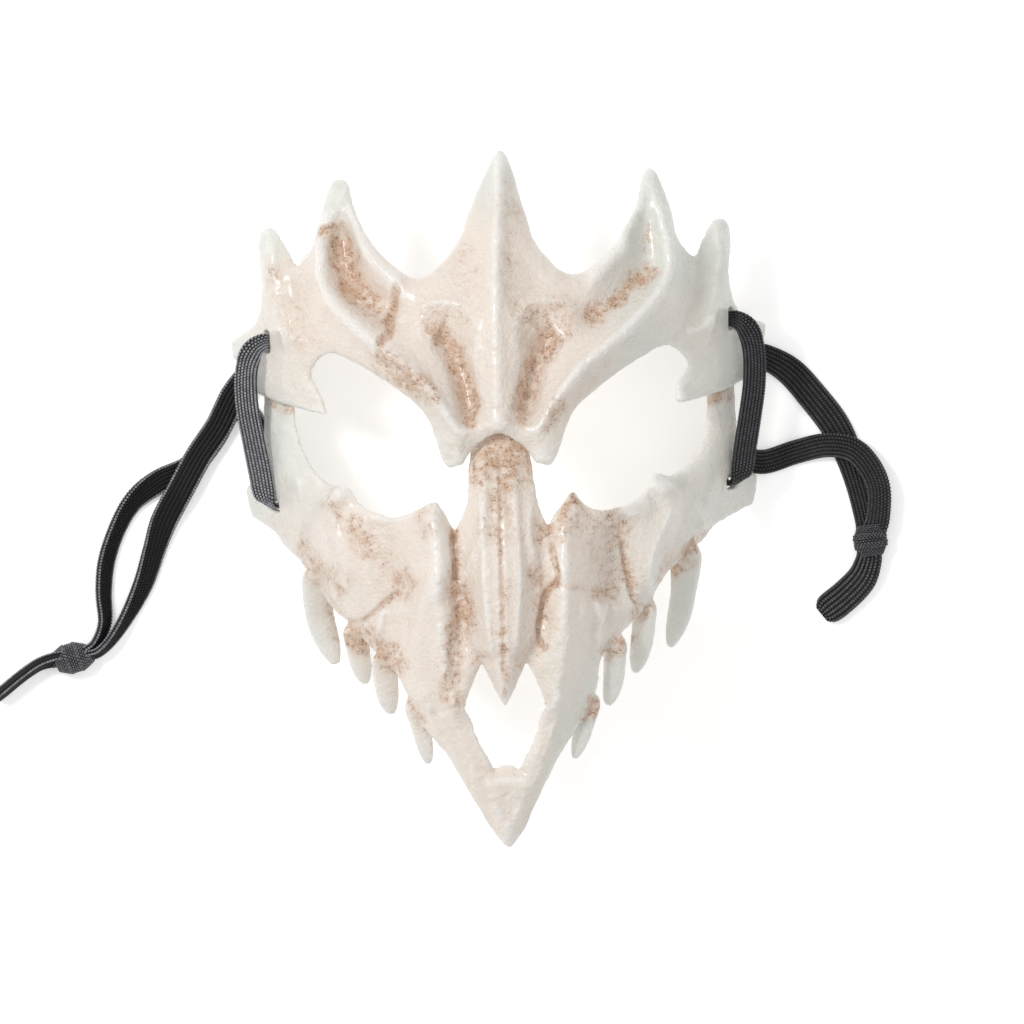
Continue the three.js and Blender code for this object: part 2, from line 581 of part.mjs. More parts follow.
// One tooth: a flattened, tapering bar with a round tip, its root buried in the cheek
function toothGeometry({ side, root, middle, tip, rootHalf, midHalf }) {
  const line = new THREE.SplineCurve([root, middle, tip].map(([x, y]) => new THREE.Vector2(x, y)));
  const rings = [];
  for (let i = 0; i <= toothSections; i += 1) {
    const u = i / toothSections;
    const centre = line.getPointAt(u);
    const run = line.getTangentAt(u);
    const body = THREE.MathUtils.lerp(rootHalf, midHalf, Math.min(2 * u, 1));
    const rootRound = Math.sqrt(1 - toothRootRound * Math.max(1 - u / toothRootLength, 0) ** 2);
    const tipRound = Math.sqrt(1 - toothTipRound * Math.max(2 * u - 1, 0) ** 2);
    const taper = body * rootRound * tipRound;
    const z = formHeight(centre.x, centre.y) - toothSetBack;
    const ring = [];
    for (let k = 0; k < toothSides; k += 1) {
      const angle = (2 * Math.PI * k * side) / toothSides;
      const across = taper * Math.cos(angle);
      const x = side * (centre.x - run.y * across);
      ring.push(new THREE.Vector3(x, centre.y + run.x * across, z + toothFlatness * taper * Math.sin(angle)));
    }
    rings.push(ring);
  }
  return skinRings(rings);
}

// Joining and cutting of closed meshes
const mergeReach = 1e-4;

function solidOf(geometry) {
  const bare = geometry.clone();
  bare.deleteAttribute('normal');
  bare.deleteAttribute('uv');
  const merged = mergeVertices(bare, mergeReach);
  const vertProperties = Float32Array.from(merged.attributes.position.array);
  const triVerts = Uint32Array.from(merged.index.array);
  return new wasm.Manifold(new wasm.Mesh({ numProp: 3, vertProperties, triVerts }));
}

function geometryOf(solid) {
  const { vertProperties, triVerts } = solid.getMesh();
  const geometry = new THREE.BufferGeometry();
  geometry.setAttribute('position', new THREE.BufferAttribute(vertProperties, 3));
  geometry.setIndex(new THREE.BufferAttribute(triVerts, 1));
  geometry.computeVertexNormals();
  return geometry;
}

// A slot is cut square through the wall on both sides of the mask
function slotGeometry({ x, y, turn }, side) {
  const [shiftX, shiftY] = slotShift[side];
  const mirror = side === 'left' ? -1 : 1;
  const slotX = mirror * x + shiftX;
  const slotY = y + shiftY;
  const normal = formNormal(slotX, slotY);
  const box = new THREE.BoxGeometry(slotWidth, slotLength, slotDepth);
  box.rotateZ(THREE.MathUtils.degToRad(turn));
  const turnToNormal = new THREE.Quaternion().setFromUnitVectors(new THREE.Vector3(0, 0, 1), normal);
  box.applyQuaternion(turnToNormal);
  const middle = new THREE.Vector3(slotX, slotY, formHeight(slotX, slotY)).addScaledVector(normal, -wall / 2);
  box.translate(middle.x, middle.y, middle.z);
  return box;
}

// What would reach under the floor is ground off flat, so that the side tabs rest on it
function groundFlat(solid) {
  const size = 400;
  const below = new THREE.BoxGeometry(size, size, size);
  below.translate(0, 0, -size / 2);
  return solid.subtract(solidOf(below));
}

function browPlate() {
  let solid = solidOf(plateGeometry([outlineLoop(browOutline)], browRelief));
  for (const side of sides) solid = solid.subtract(solidOf(slotGeometry(slots.upper, side)));
  return geometryOf(groundFlat(solid));
}

function facePlate() {
  let solid = solidOf(plateGeometry([outlineLoop(faceOutline), outlineLoop(mouthOutline)], faceRelief));
  for (const tooth of teeth) solid = solid.add(solidOf(toothGeometry(tooth)));
  for (const side of sides) solid = solid.subtract(solidOf(slotGeometry(slots.lower, side)));
  return geometryOf(groundFlat(solid));
}

// Flat lace along a route: rings of a flat section with soft edges
const laceSection = [[1, 0], [0.82, 1], [0, 1], [-0.82, 1], [-1, 0], [-0.82, -1], [0, -1], [0.82, -1]];

function laceRows(route, layers) {
  return route.map((row) => {
    const side = Math.sign(row.x);
    const [faceX, faceY, faceZ] = laceFaces[row.face ?? 'down'];
    const roll = THREE.MathUtils.degToRad(row.roll ?? 0);
    const standing = (laceWidth * Math.abs(Math.sin(roll)) + layers * laceThickness * Math.cos(roll)) / 2;
    const z = row.z ?? standing + floorClearance + row.over;
    const place = new THREE.Vector3(row.x, row.y, z);
    const face = new THREE.Vector3(side * faceX, faceY, faceZ);
    return { place, face, roll, width: laceWidth * (row.gather ?? 1) };
  });
}

function laceGeometry(route, layers = 1) {
  const rows = laceRows(route, layers);
  const curve = new THREE.CatmullRomCurve3(rows.map(({ place }) => place));
  const rings = rows.map(({ place, face, roll, width }, i) => {
    const tangent = curve.getTangent(i / (rows.length - 1));
    const across = new THREE.Vector3().crossVectors(tangent, face).normalize().applyAxisAngle(tangent, roll);
    const through = new THREE.Vector3().crossVectors(tangent, across);
    return laceSection.map(([u, v]) => place.clone()
      .addScaledVector(across, (u * width) / 2)
      .addScaledVector(through, (v * layers * laceThickness) / 2));
  });
  return skinRings(rings);
}

function knotGeometry({ x, y, halfLength, halfWidth, halfHeight, turn }) {
  const knot = new THREE.SphereGeometry(1, knotSides, knotRings);
  knot.scale(halfLength, halfWidth, halfHeight);
  knot.rotateZ(THREE.MathUtils.degToRad(turn));
  knot.translate(x, y, halfHeight + floorClearance);
  return knot;
}

const resin = new THREE.MeshStandardMaterial({ color: 0xe4e4dc, roughness: 0.35, metalness: 0 });
const lace = new THREE.MeshStandardMaterial({ color: 0x18181b, roughness: 0.85, metalness: 0 });
const group = new THREE.Group();

function addPiece(name, geometry, material) {
  const mesh = new THREE.Mesh(geometry, material.clone());
  mesh.name = name;
  group.add(mesh);
}

addPiece('brow_plate', browPlate(), resin);
addPiece('face_plate', facePlate(), resin);
for (const side of sides) {
  const [shiftX, shiftY, shiftZ] = slotShift[side];
  const mirror = side === 'left' ? -1 : 1;
  const atSlots = (rows) => rows.map((row) => (
    { ...row, x: mirror * row.x + shiftX, y: row.y + shiftY, z: row.z + shiftZ }
  ));
  addPiece(`stitch_${side}`, laceGeometry(atSlots(stitchRoute)), lace);
  const upper = floorRoutes[`strand_upper_${side}`];
  const lower = floorRoutes[`strand_lower_${side}`];
  addPiece(`strand_upper_${side}`, laceGeometry([...atSlots(upperDescent), ...upper]), lace);
  addPiece(`strand_lower_${side}`, laceGeometry([...atSlots(lowerDescent), ...lower]), lace);
  addPiece(`knot_${side}`, knotGeometry(knots[`knot_${side}`]), lace);
  addPiece(`tail_${side}`, laceGeometry(floorRoutes[`tail_${side}`], tailLayers), lace);
}

export default group;
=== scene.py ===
import math

import bmesh
import bpy
import numpy as np
from mathutils import Matrix, Vector, noise


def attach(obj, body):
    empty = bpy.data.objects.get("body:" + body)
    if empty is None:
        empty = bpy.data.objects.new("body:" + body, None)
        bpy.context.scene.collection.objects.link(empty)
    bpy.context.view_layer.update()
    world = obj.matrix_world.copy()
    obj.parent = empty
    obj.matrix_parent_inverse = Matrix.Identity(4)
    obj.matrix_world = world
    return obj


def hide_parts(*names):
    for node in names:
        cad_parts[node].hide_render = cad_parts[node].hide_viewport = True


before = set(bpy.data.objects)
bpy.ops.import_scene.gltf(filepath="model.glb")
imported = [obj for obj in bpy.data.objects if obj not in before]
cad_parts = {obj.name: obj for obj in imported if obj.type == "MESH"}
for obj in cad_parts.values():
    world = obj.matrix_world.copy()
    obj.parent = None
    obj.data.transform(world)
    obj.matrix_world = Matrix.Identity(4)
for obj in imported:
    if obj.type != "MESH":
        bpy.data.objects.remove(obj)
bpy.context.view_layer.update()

# Brow plate: the upper of the two castings, with five horns, two brow ridges and the nose arch.
# It is thin pale resin poured in a mould, brown paint is rubbed into its hollows, and the lace through
# its side slots holds it to the face plate.
mm = 0.001
weld_distance = 0.01 * mm
rounding_levels = 2
fit_rounds = 3
fit_share = 0.8
fit_limit = 0.8 * mm
cast_grid = 0.72 * mm
soften_share = 0.5
soften_rounds = 3
line_steps = 5
ridge_sharpness = 1.4
end_fade = 0.1
front_slope = 0.15
front_range = 0.4
relief_lean = (0.5, 0.5, 1.0)
lump_size = 6 * mm
lump_height = 0.16 * mm
grain_size = 1.5 * mm
grain_height = 0.05 * mm
stain_roughness = 0.12 * mm
stain_wander = 0.55
paint_spread = 1.35
wander_size = 7 * mm
wander_seed = 6
blur_rounds = 14

# Ridges and cuts of the casting: name, side, profile, rise and reach in millimetres, and the x, y of the
# line in millimetres on the face, on its right side where both sides have it
brow_lines = [
    ("brow and horn crest", "both", "ridge", 1.8, 5.4,
     [(13, 23), (26.4, 41), (42.9, 54.5), (55, 68), (58, 82), (52, 105)]),
    ("left horn hollow", "left", "round", -2.4, 7.0,
     [(-51, 92), (-49.5, 80), (-45, 70.5), (-38, 64.5), (-32, 60)]),
    ("right horn floor", "right", "round", 0.7, 7.0,
     [(51, 92), (49.5, 80), (45, 70.5), (38, 64.5), (32, 60)]),
    ("middle horn rim", "both", "ridge", 1.5, 4.0, [(29, 72), (38.7, 78.4), (43.6, 86), (49, 102)]),
    ("keel crest", "right", "ridge", 1.5, 4.4, [(2.6, 118), (2.2, 104), (0.8, 84), (0, 58)]),
    ("keel shoulder", "both", "ridge", 0.6, 3.4, [(1, 74), (4.6, 60), (7.2, 48), (5.2, 28)]),
    ("glabella groove", "both", "round", -2.2, 5.4, [(20, 55), (14.5, 48), (11, 38), (8, 27)]),
    ("dish", "both", "round", -1.3, 8.0, [(19, 57), (14, 55), (12, 48)]),
    ("dish rim", "both", "ridge", 0.7, 3.2, [(26.2, 63.7), (15.9, 65.4), (8.7, 61.9), (6.6, 55.3)]),
    ("outer horn crest", "both", "ridge", 1.6, 4.0,
     [(75, 88), (76.2, 74), (74.4, 66), (71.8, 59), (69, 50)]),
    ("temple crease", "both", "ridge", 1.2, 2.8, [(71.8, 59), (67, 54.6), (62, 54)]),
    ("brow crack", "left", "round", -1.6, 2.3,
     [(-32, 73), (-34, 65.6), (-34.9, 59.6), (-35, 55.4), (-38, 52.5), (-38, 44)]),
    ("carved line", "left", "round", -0.7, 1.0,
     [(-38, 47), (-34.6, 43.4), (-31, 43.4), (-28.6, 39), (-25, 38)]),
    ("carved line", "left", "round", -0.7, 1.0, [(-21, 55), (-17.6, 52), (-15.4, 48.4), (-13, 46.8)]),
    ("carved line", "right", "round", -0.7, 1.0, [(11.6, 43.8), (15, 46.6), (18.6, 45.4), (20.4, 48.8)]),
    ("carved line", "right", "round", -0.7, 1.0, [(17.6, 33.6), (18.8, 30.6), (17, 26.6)]),
]
# Stains and painted shade: name, strength, reach in millimetres, and the x, y of the line in millimetres
brow_stains_and_shade = [
    ("left middle horn", 1.0, 5.2, [(-54.3, 88.5), (-49.5, 81.8), (-47.5, 71.8), (-45.6, 66.8)]),
    ("left hollow by the crack", 0.4, 6.0, [(-43.3, 66.8), (-36.6, 57)]),
    ("left crack", 1.0, 2.0,
     [(-32.6, 71.1), (-34, 65.6), (-34.9, 59.6), (-35, 55.4), (-38, 52.5), (-37.4, 46)]),
    ("left brow band", 0.9, 4.4, [(-37.2, 47.5), (-32.3, 42.7), (-24.2, 35.9)]),
    # Painted shade: the bevel under the left brow ridge faces down, and this row darkens it with the brown
    # colours.
    ("left bevel", 0.35, 6.0, [(-24, 32), (-37, 46)]),
    ("left glabella", 0.95, 3.6, [(-19.8, 54.6), (-14, 49.5), (-12.2, 43.2), (-9.4, 32.9), (-9.3, 24.7)]),
    ("left dish", 0.45, 6.5, [(-21.9, 61.3), (-13.8, 57.8)]),
    ("keel, left side", 0.35, 7.0, [(-10, 80), (-8.6, 66)]),
    ("keel, right side", 0.4, 6.0, [(4.5, 102), (5.5, 79), (9.4, 62)]),
    ("left temple", 0.4, 11, [(-73, 74), (-69, 66), (-62, 57)]),
    ("left temple spike", 0.3, 9.0, [(-66, 39), (-60, 34)]),
    ("left nose foot", 0.4, 4.0, [(-15, 15), (-12, 18)]),
    ("right glabella", 0.85, 4.8, [(21.5, 52.6), (15, 47), (9.6, 38), (6.4, 27)]),
    # Painted shade: the right dish lies in the keel's shade and the right bevel faces down, and these two
    # rows darken them with the brown colours.
    ("right dish", 0.5, 11, [(20, 60), (15, 55), (20, 55)]),
    ("right bevel", 0.3, 6, [(22, 30), (36, 44)]),
    ("right brow spot", 0.65, 3.4, [(19.6, 31), (16.1, 24)]),
    ("right middle horn", 0.9, 4.6, [(32.5, 59.4), (37.6, 63.1), (45.9, 69.5), (50.3, 74)]),
    ("right middle horn spot", 0.45, 3.2, [(50.4, 86), (50.6, 82)]),
]
# Warm tint of the resin, in the same columns
brow_warmth = [
    ("centre", 1.0, 46, [(-30, 62), (0, 60)]),
    ("left horn root", 0.55, 30, [(-48, 70), (-60, 60)]),
    ("right dish", 0.6, 24, [(18, 48), (10, 30)]),
    ("right temple", 0.35, 22, [(66, 58), (70, 44)]),
]


def make_plain(piece):
    """Turns what the modifiers make of a piece into its own plain mesh."""
    graph = bpy.context.evaluated_depsgraph_get()
    plain = bpy.data.meshes.new_from_object(piece.evaluated_get(graph))
    piece.modifiers.clear()
    piece.data = plain
    return piece


def places_of(mesh):
    """The places of a mesh's points, a row each."""
    places = np.empty(3 * len(mesh.vertices))
    mesh.vertices.foreach_get("co", places)
    return places.reshape(-1, 3)


def cast_copy(node, name):
    """A fine, even copy of a plate's solid: smooth where the solid has facets, and through its corners."""
    solid = bmesh.new()
    solid.from_mesh(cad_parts[node].data)
    bmesh.ops.remove_doubles(solid, verts=solid.verts, dist=weld_distance)
    mesh = bpy.data.meshes.new(name)
    solid.to_mesh(mesh)
    solid.free()
    piece = bpy.data.objects.new(name, mesh)
    bpy.context.scene.collection.objects.link(piece)
    rounding = piece.modifiers.new("rounding", "SUBSURF")
    rounding.levels = rounding_levels
    rounding.render_levels = rounding_levels
    corners = places_of(mesh)
    held = corners.copy()
    for _ in range(fit_rounds):
        graph = bpy.context.evaluated_depsgraph_get()
        shown = places_of(piece.evaluated_get(graph).data)[: len(corners)]
        held += np.clip(fit_share * (corners - shown), -fit_limit, fit_limit)
        mesh.vertices.foreach_set("co", held.ravel())
        mesh.update()
    grid = piece.modifiers.new("even_grid", "REMESH")
    grid.mode = "VOXEL"
    grid.voxel_size = cast_grid
    soften = piece.modifiers.new("soften", "SMOOTH")
    soften.factor = soften_share
    soften.iterations = soften_rounds
    return make_plain(piece)


def smooth_path(points, steps):
    """Places along a smooth line through points, with that many steps between each two."""
    points = np.array(points, float)
    ends = np.vstack([2 * points[0] - points[1], points, 2 * points[-1] - points[-2]])
    t = np.linspace(0, 1, steps, endpoint=False)[:, None]
    spans = []
    for a, b, c, d in zip(ends, ends[1:], ends[2:], ends[3:]):
        bend = (2 * a - 5 * b + 4 * c - d) * t**2 + (3 * b - 3 * c + d - a) * t**3
        spans.append(0.5 * (2 * b + (c - a) * t + bend))
    return np.vstack(spans + [points[-1:]])


def line_distance(spots, points):
    """How far each spot on the face is from a smooth line, and the share of the line where it is nearest."""
    path = smooth_path(points, line_steps)
    nearest = np.full(len(spots), np.inf)
    along = np.zeros(len(spots))
    for i, (start, stop) in enumerate(zip(path, path[1:])):
        run = stop - start
        share = np.clip((spots - start) @ run / (run @ run), 0, 1)
        distance = np.linalg.norm(spots - start - share[:, None] * run, axis=1)
        closer = distance < nearest
        nearest[closer] = distance[closer]
        along[closer] = (i + share[closer]) / (len(path) - 1)
    return nearest, along


def relief_height(spots, lines):
    """Height in millimetres that the ridges and cuts of a plate add at each spot."""
    total = np.zeros(len(spots))
    for _, side, profile, rise, reach, points in lines:
        seen = np.abs(spots * (1, 0)) + spots * (0, 1) if side == "both" else spots
        distance, along = line_distance(seen, points)
        t = np.clip(distance / reach, 0, 1)
        shape = (1 - t) ** ridge_sharpness if profile == "ridge" else (1 - t**2) ** 2
        total += rise * shape * np.clip(np.minimum(along, 1 - along) / end_fade, 0, 1)
    return total


def paint_share(spots, rows, wander):
    """Share of paint, 0 to 1, that the rows leave at each spot; wander sets their edges off."""
    clear = np.ones(len(spots))
    for _, strength, reach, points in rows:
        distance, _ = line_distance(spots + wander * reach, points)
        clear *= 1 - strength * np.clip(1 - (distance / (paint_spread * reach)) ** 2, 0, 1) ** 2
    return 1 - clear


def height_above(mesh, places, outward):
    """How far each point stands above the surface around it, in millimetres; creases are below 0."""
    ends = np.empty(2 * len(mesh.edges), int)
    mesh.edges.foreach_get("vertices", ends)
    first, second = ends[::2], ends[1::2]
    count = len(places)
    neighbours = np.bincount(first, minlength=count) + np.bincount(second, minlength=count)
    around = places.T.copy()
    for _ in range(blur_rounds):
        around = np.stack([
            (np.bincount(first, row[second], count) + np.bincount(second, row[first], count)) / neighbours
            for row in around
        ])
    return ((places - around.T) * outward).sum(axis=1) / mm


def finish_cast(piece, lines, stains_and_shade, warmth):
    """Adds fine relief and grain to the front of a plate, and paints its brown marks and its warm tint on
    it; some of the brown marks are painted shade.
    """
    mesh = piece.data
    places = places_of(mesh)
    outward = np.empty(3 * len(places))
    mesh.vertex_normals.foreach_get("vector", outward)
    outward = outward.reshape(-1, 3)
    front = np.clip((outward[:, 2] - front_slope) / front_range, 0, 1)
    lift = outward * relief_lean
    spots = places[:, :2] / mm
    wander = np.array([noise.noise_vector(Vector(place) / wander_size)[:2] for place in places])
    stain_and_shade = paint_share(spots, stains_and_shade, stain_wander * wander) * front
    lumps = np.array([noise.noise(Vector(place) / lump_size) for place in places])
    grain = np.array([noise.noise(Vector(place) / grain_size) for place in places])
    relief = relief_height(spots, lines) * mm
    behind = np.clip((-outward[:, 2] - front_slope) / front_range, 0, 1)
    height = relief * front + lumps * lump_height + grain * (grain_height + stain_roughness * stain_and_shade)
    places += lift * height[:, None]
    places[:, 2] += np.minimum(relief, 0) * behind
    places[:, 2] = np.maximum(places[:, 2], 0)
    mesh.vertices.foreach_set("co", places.ravel())
    painted = {
        "stain_and_shade": stain_and_shade,
        "warmth": paint_share(spots, warmth, 0 * wander),
        "crest": height_above(mesh, places, outward) * front,
    }
    for name, values in painted.items():
        mesh.attributes.new(name, "FLOAT", "POINT").data.foreach_set("value", values)
    mesh.shade_smooth()
    mesh.update()


def add_node(tree, kind, inputs=None, **settings):
    """A node with its settings, and its inputs linked to sockets or set to values."""
    made = tree.nodes.new(kind)
    for key, value in settings.items():
        setattr(made, key, value)
    for key, value in (inputs or {}).items():
        if isinstance(value, bpy.types.NodeSocket):
            tree.links.new(value, made.inputs[key])
        else:
            made.inputs[key].default_value = value
    return made


def new_material(name):
    """A material, its node tree and its shader."""
    material = bpy.data.materials.new(name)
    material.use_nodes = True
    tree = material.node_tree
    return material, tree, tree.nodes["Principled BSDF"]


def mix_colours(tree, share, first, second):
    """The output that blends two colours by a share. A Mix node's colours are its sockets 6 and 7."""
    mixed = add_node(tree, "ShaderNodeMix", {0: share}, data_type="RGBA")
    for socket, value in ((mixed.inputs[6], first), (mixed.inputs[7], second)):
        if isinstance(value, bpy.types.NodeSocket):
            tree.links.new(value, socket)
        else:
            socket.default_value = value
    return mixed.outputs[2]


def share_between(tree, value, low, high):
    """The output that rises from 0 to 1 as a value goes from low to high."""
    inputs = {"Value": value, "From Min": low, "From Max": high}
    return add_node(tree, "ShaderNodeMapRange", inputs, interpolation_type="SMOOTHSTEP").outputs[0]


def cast_resin():
    """Pale, slightly see-through resin: cool at the tips, warm in the middle, brown in its marks and in the
    painted shade, and painted paler on the crests as a highlight.
    """
    cool = (0.70, 0.72, 0.67, 1)
    warm = (0.81, 0.725, 0.645, 1)
    # The pale colour is painted on the crests as a highlight.
    pale = (0.86, 0.845, 0.81, 1)
    tan = (0.62, 0.43, 0.305, 1)
    brown = (0.27, 0.145, 0.085, 1)
    material, tree, shader = new_material("cast_resin")
    object_place = add_node(tree, "ShaderNodeTexCoord").outputs["Object"]

    def attribute(name):
        return add_node(tree, "ShaderNodeAttribute", attribute_name=name).outputs["Fac"]

    def noise_of(scale, detail):
        inputs = {"Vector": object_place, "Scale": scale, "Detail": detail, "Roughness": 0.6}
        return add_node(tree, "ShaderNodeTexNoise", inputs).outputs["Fac"]

    def math_of(operation, first, second, third=0.0):
        inputs = {0: first, 1: second, 2: third}
        return add_node(tree, "ShaderNodeMath", inputs, operation=operation).outputs[0]

    cloud = noise_of(38, 3)
    blotch = noise_of(190, 3)
    patch = noise_of(420, 4)
    speck = noise_of(1300, 3)
    crest = attribute("crest")
    tint = share_between(tree, math_of("ADD", attribute("warmth"), cloud), 0.35, 1.35)
    body = mix_colours(tree, tint, cool, warm)
    # Painted highlight: the crests are painted paler, as lit ones.
    painted_crest_highlight = math_of("MULTIPLY", share_between(tree, crest, 0.05, 0.5), 0.6)
    body = mix_colours(tree, painted_crest_highlight, body, pale)
    # Brown goes into the creases, where the real brown sits, and where the tables give it: real stains, and
    # painted shade under the nose arch, at the arms under the temples, on the brow bevels and in the right
    # dish.
    crease = math_of("SUBTRACT", 1.0, share_between(tree, crest, -0.5, -0.06))
    paint = math_of("MULTIPLY_ADD", crease, 0.25, attribute("stain_and_shade"))
    uneven = math_of("MULTIPLY_ADD", math_of("ADD", blotch, patch), 2.2, -1.35)
    rubbed_paint_and_shade = math_of("MULTIPLY", paint, uneven)
    wash = math_of("MULTIPLY", share_between(tree, rubbed_paint_and_shade, 0.02, 1.15), 0.95)
    stained_and_shaded = mix_colours(tree, wash, body, tan)
    bend = math_of("ABSOLUTE", math_of("SUBTRACT", noise_of(520, 1.5), 0.5), 0.0)
    strokes = math_of("SUBTRACT", 1.0, share_between(tree, bend, 0.01, 0.04))
    strokes = math_of("MULTIPLY", strokes, share_between(tree, patch, 0.42, 0.58))
    strokes = math_of("MULTIPLY", strokes, share_between(tree, rubbed_paint_and_shade, 0.22, 0.9))
    dots = share_between(tree, speck, 0.62, 0.7)
    dots = math_of("MULTIPLY", dots, share_between(tree, rubbed_paint_and_shade, 0.05, 0.5))
    dark = math_of("MULTIPLY", math_of("MAXIMUM", strokes, dots), 0.85)
    tree.links.new(mix_colours(tree, dark, stained_and_shaded, brown), shader.inputs["Base Color"])

    gloss = share_between(tree, patch, 0.3, 0.7)
    rough = add_node(tree, "ShaderNodeMapRange", {"Value": gloss, "To Min": 0.26, "To Max": 0.44}).outputs[0]
    tree.links.new(rough, shader.inputs["Roughness"])
    shader.inputs["Subsurface Weight"].default_value = 0.2
    shader.inputs["Subsurface Radius"].default_value = (1.0, 0.85, 0.7)
    shader.inputs["Subsurface Scale"].default_value = 0.0015
    shader.inputs["Coat Weight"].default_value = 0.4
    shader.inputs["Coat Roughness"].default_value = 0.14
    pits = math_of("ADD", noise_of(600, 3), math_of("MULTIPLY", speck, 0.3))
    bump = add_node(tree, "ShaderNodeBump", {"Height": pits, "Strength": 0.5, "Distance": 0.0014})
    tree.links.new(bump.outputs[0], shader.inputs["Normal"])
    return material


noise.seed_set(wander_seed)
resin = cast_resin()
brow = cast_copy("brow_plate", "brow_plate_cast")
finish_cast(brow, brow_lines, brow_stains_and_shade, brow_warmth)
brow.data.materials.append(resin)
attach(brow, "root")
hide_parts("brow_plate")

# Face plate: the lower casting, with the nasal bone, cheeks, teeth and beak.
# It is the same poured resin, tucked under the brow plate at the nose and the temples, and the lace
# through its side slots ties the two together. The columns are those of the brow plate's tables.
face_lines = [
    ("left cheek crest", "left", "ridge", 2.0, 5.0,
     [(-51.4, 5), (-56, 0.4), (-58.4, -4), (-57, -11), (-53.7, -22), (-55.7, -35.3)]),
    ("right cheek crest", "right", "ridge", 2.0, 5.0,
     [(52.6, 6), (58.1, 0.6), (55.7, -6), (51.2, -14.8), (48.6, -23.6), (47, -36)]),
    ("cheek hollow", "both", "round", -2.2, 9.0, [(40, -5), (37, -20), (34, -36)]),
    ("inner cheek ridge", "right", "round", -0.5, 3.2,
     [(23.6, 2), (23.2, -8.5), (23.5, -24), (22.5, -39.5), (19.9, -50), (16.2, -66.8)]),
    ("inner cheek bar", "left", "round", 2.0, 6.0,
     [(-22.5, 0), (-21, -9), (-19.8, -20), (-22, -27), (-26.4, -35), (-28.4, -46), (-27.4, -61),
      (-24, -70)]),
    ("nasal bone", "both", "round", 0.5, 8.0, [(0, 12), (0, -20), (0, -54)]),
    ("nasal centre", "both", "round", 0.8, 3.2, [(0, 14), (0, -20), (0, -54)]),
    ("nasal centre line", "both", "round", -1.0, 1.0, [(0, 18), (0, -30), (0, -62)]),
    ("nasal flute", "both", "ridge", 1.0, 2.6, [(4.2, 14), (5.6, -10), (5.8, -30), (3.4, -54)]),
    ("left nasal edge", "left", "ridge", 1.0, 2.8,
     [(-7.6, 9.8), (-6.3, -10), (-13.4, -29.7), (-8.2, -51.3)]),
    ("right nasal edge", "right", "ridge", 1.0, 2.8,
     [(11.4, 9.3), (9.4, -10.4), (12.2, -27.9), (7.4, -51.7)]),
    ("left seam crack", "left", "round", -1.8, 1.3, [(-15.6, -10), (-15.6, -18), (-15.4, -27)]),
    ("left seam trough", "left", "round", -1.7, 4.6, [(-14.6, -28), (-13, -38), (-15, -48), (-17.6, -66)]),
    ("right seam crack", "right", "round", -1.4, 1.3,
     [(16.4, -9), (17, -19.2), (18.2, -26.9), (14.1, -31.4), (12, -39.2), (11.4, -45.2), (13.7, -50)]),
    ("right bar step", "right", "round", -0.35, 1.2,
     [(18.1, -28.6), (22.7, -30.3), (28, -30.4), (38.4, -31.3)]),
    ("right bar", "right", "round", 1.4, 6.0, [(25, -37), (31, -38), (34, -39)]),
    ("right cheek crack", "right", "round", -1.4, 1.3,
     [(40, -14), (41.3, -24.4), (42.4, -32.1), (44.6, -36.7)]),
    ("right facet edge", "right", "ridge", 1.6, 2.6, [(30.4, -33), (31.6, -44), (29.8, -54)]),
    ("left cheek crack", "left", "round", -1.2, 1.2,
     [(-34.7, -29.2), (-39.4, -33.4), (-43.1, -37), (-46.5, -39.2), (-51, -39.4)]),
    ("left gum ridge", "left", "ridge", 1.6, 2.2, [(-39.2, -35), (-40.4, -41), (-42.2, -47)]),
    ("left arm crest", "left", "ridge", 1.3, 3.2, [(-67, 10), (-65.4, -1), (-66.2, -8), (-67.4, -15)]),
    ("right arm crest", "right", "ridge", 1.0, 3.0, [(62, 2), (63.9, -4.2), (67.6, -12)]),
    ("beak bar", "both", "round", -1.3, 5.5, [(17, -66), (10, -90), (1, -114)]),
    ("beak keel", "both", "round", 1.5, 8.0, [(0, -90), (0, -102), (0, -116)]),
    ("mouth rim", "both", "round", 0.7, 4.0, [(14, -68), (9, -80), (5, -90)]),
    ("left bar step", "left", "round", -0.5, 1.4, [(-25, -70.8), (-17.9, -68.6), (-13.4, -67.6)]),
    ("left bar edge", "left", "ridge", 0.8, 2.0, [(-24.8, -66), (-24.6, -71), (-21.6, -78)]),
]
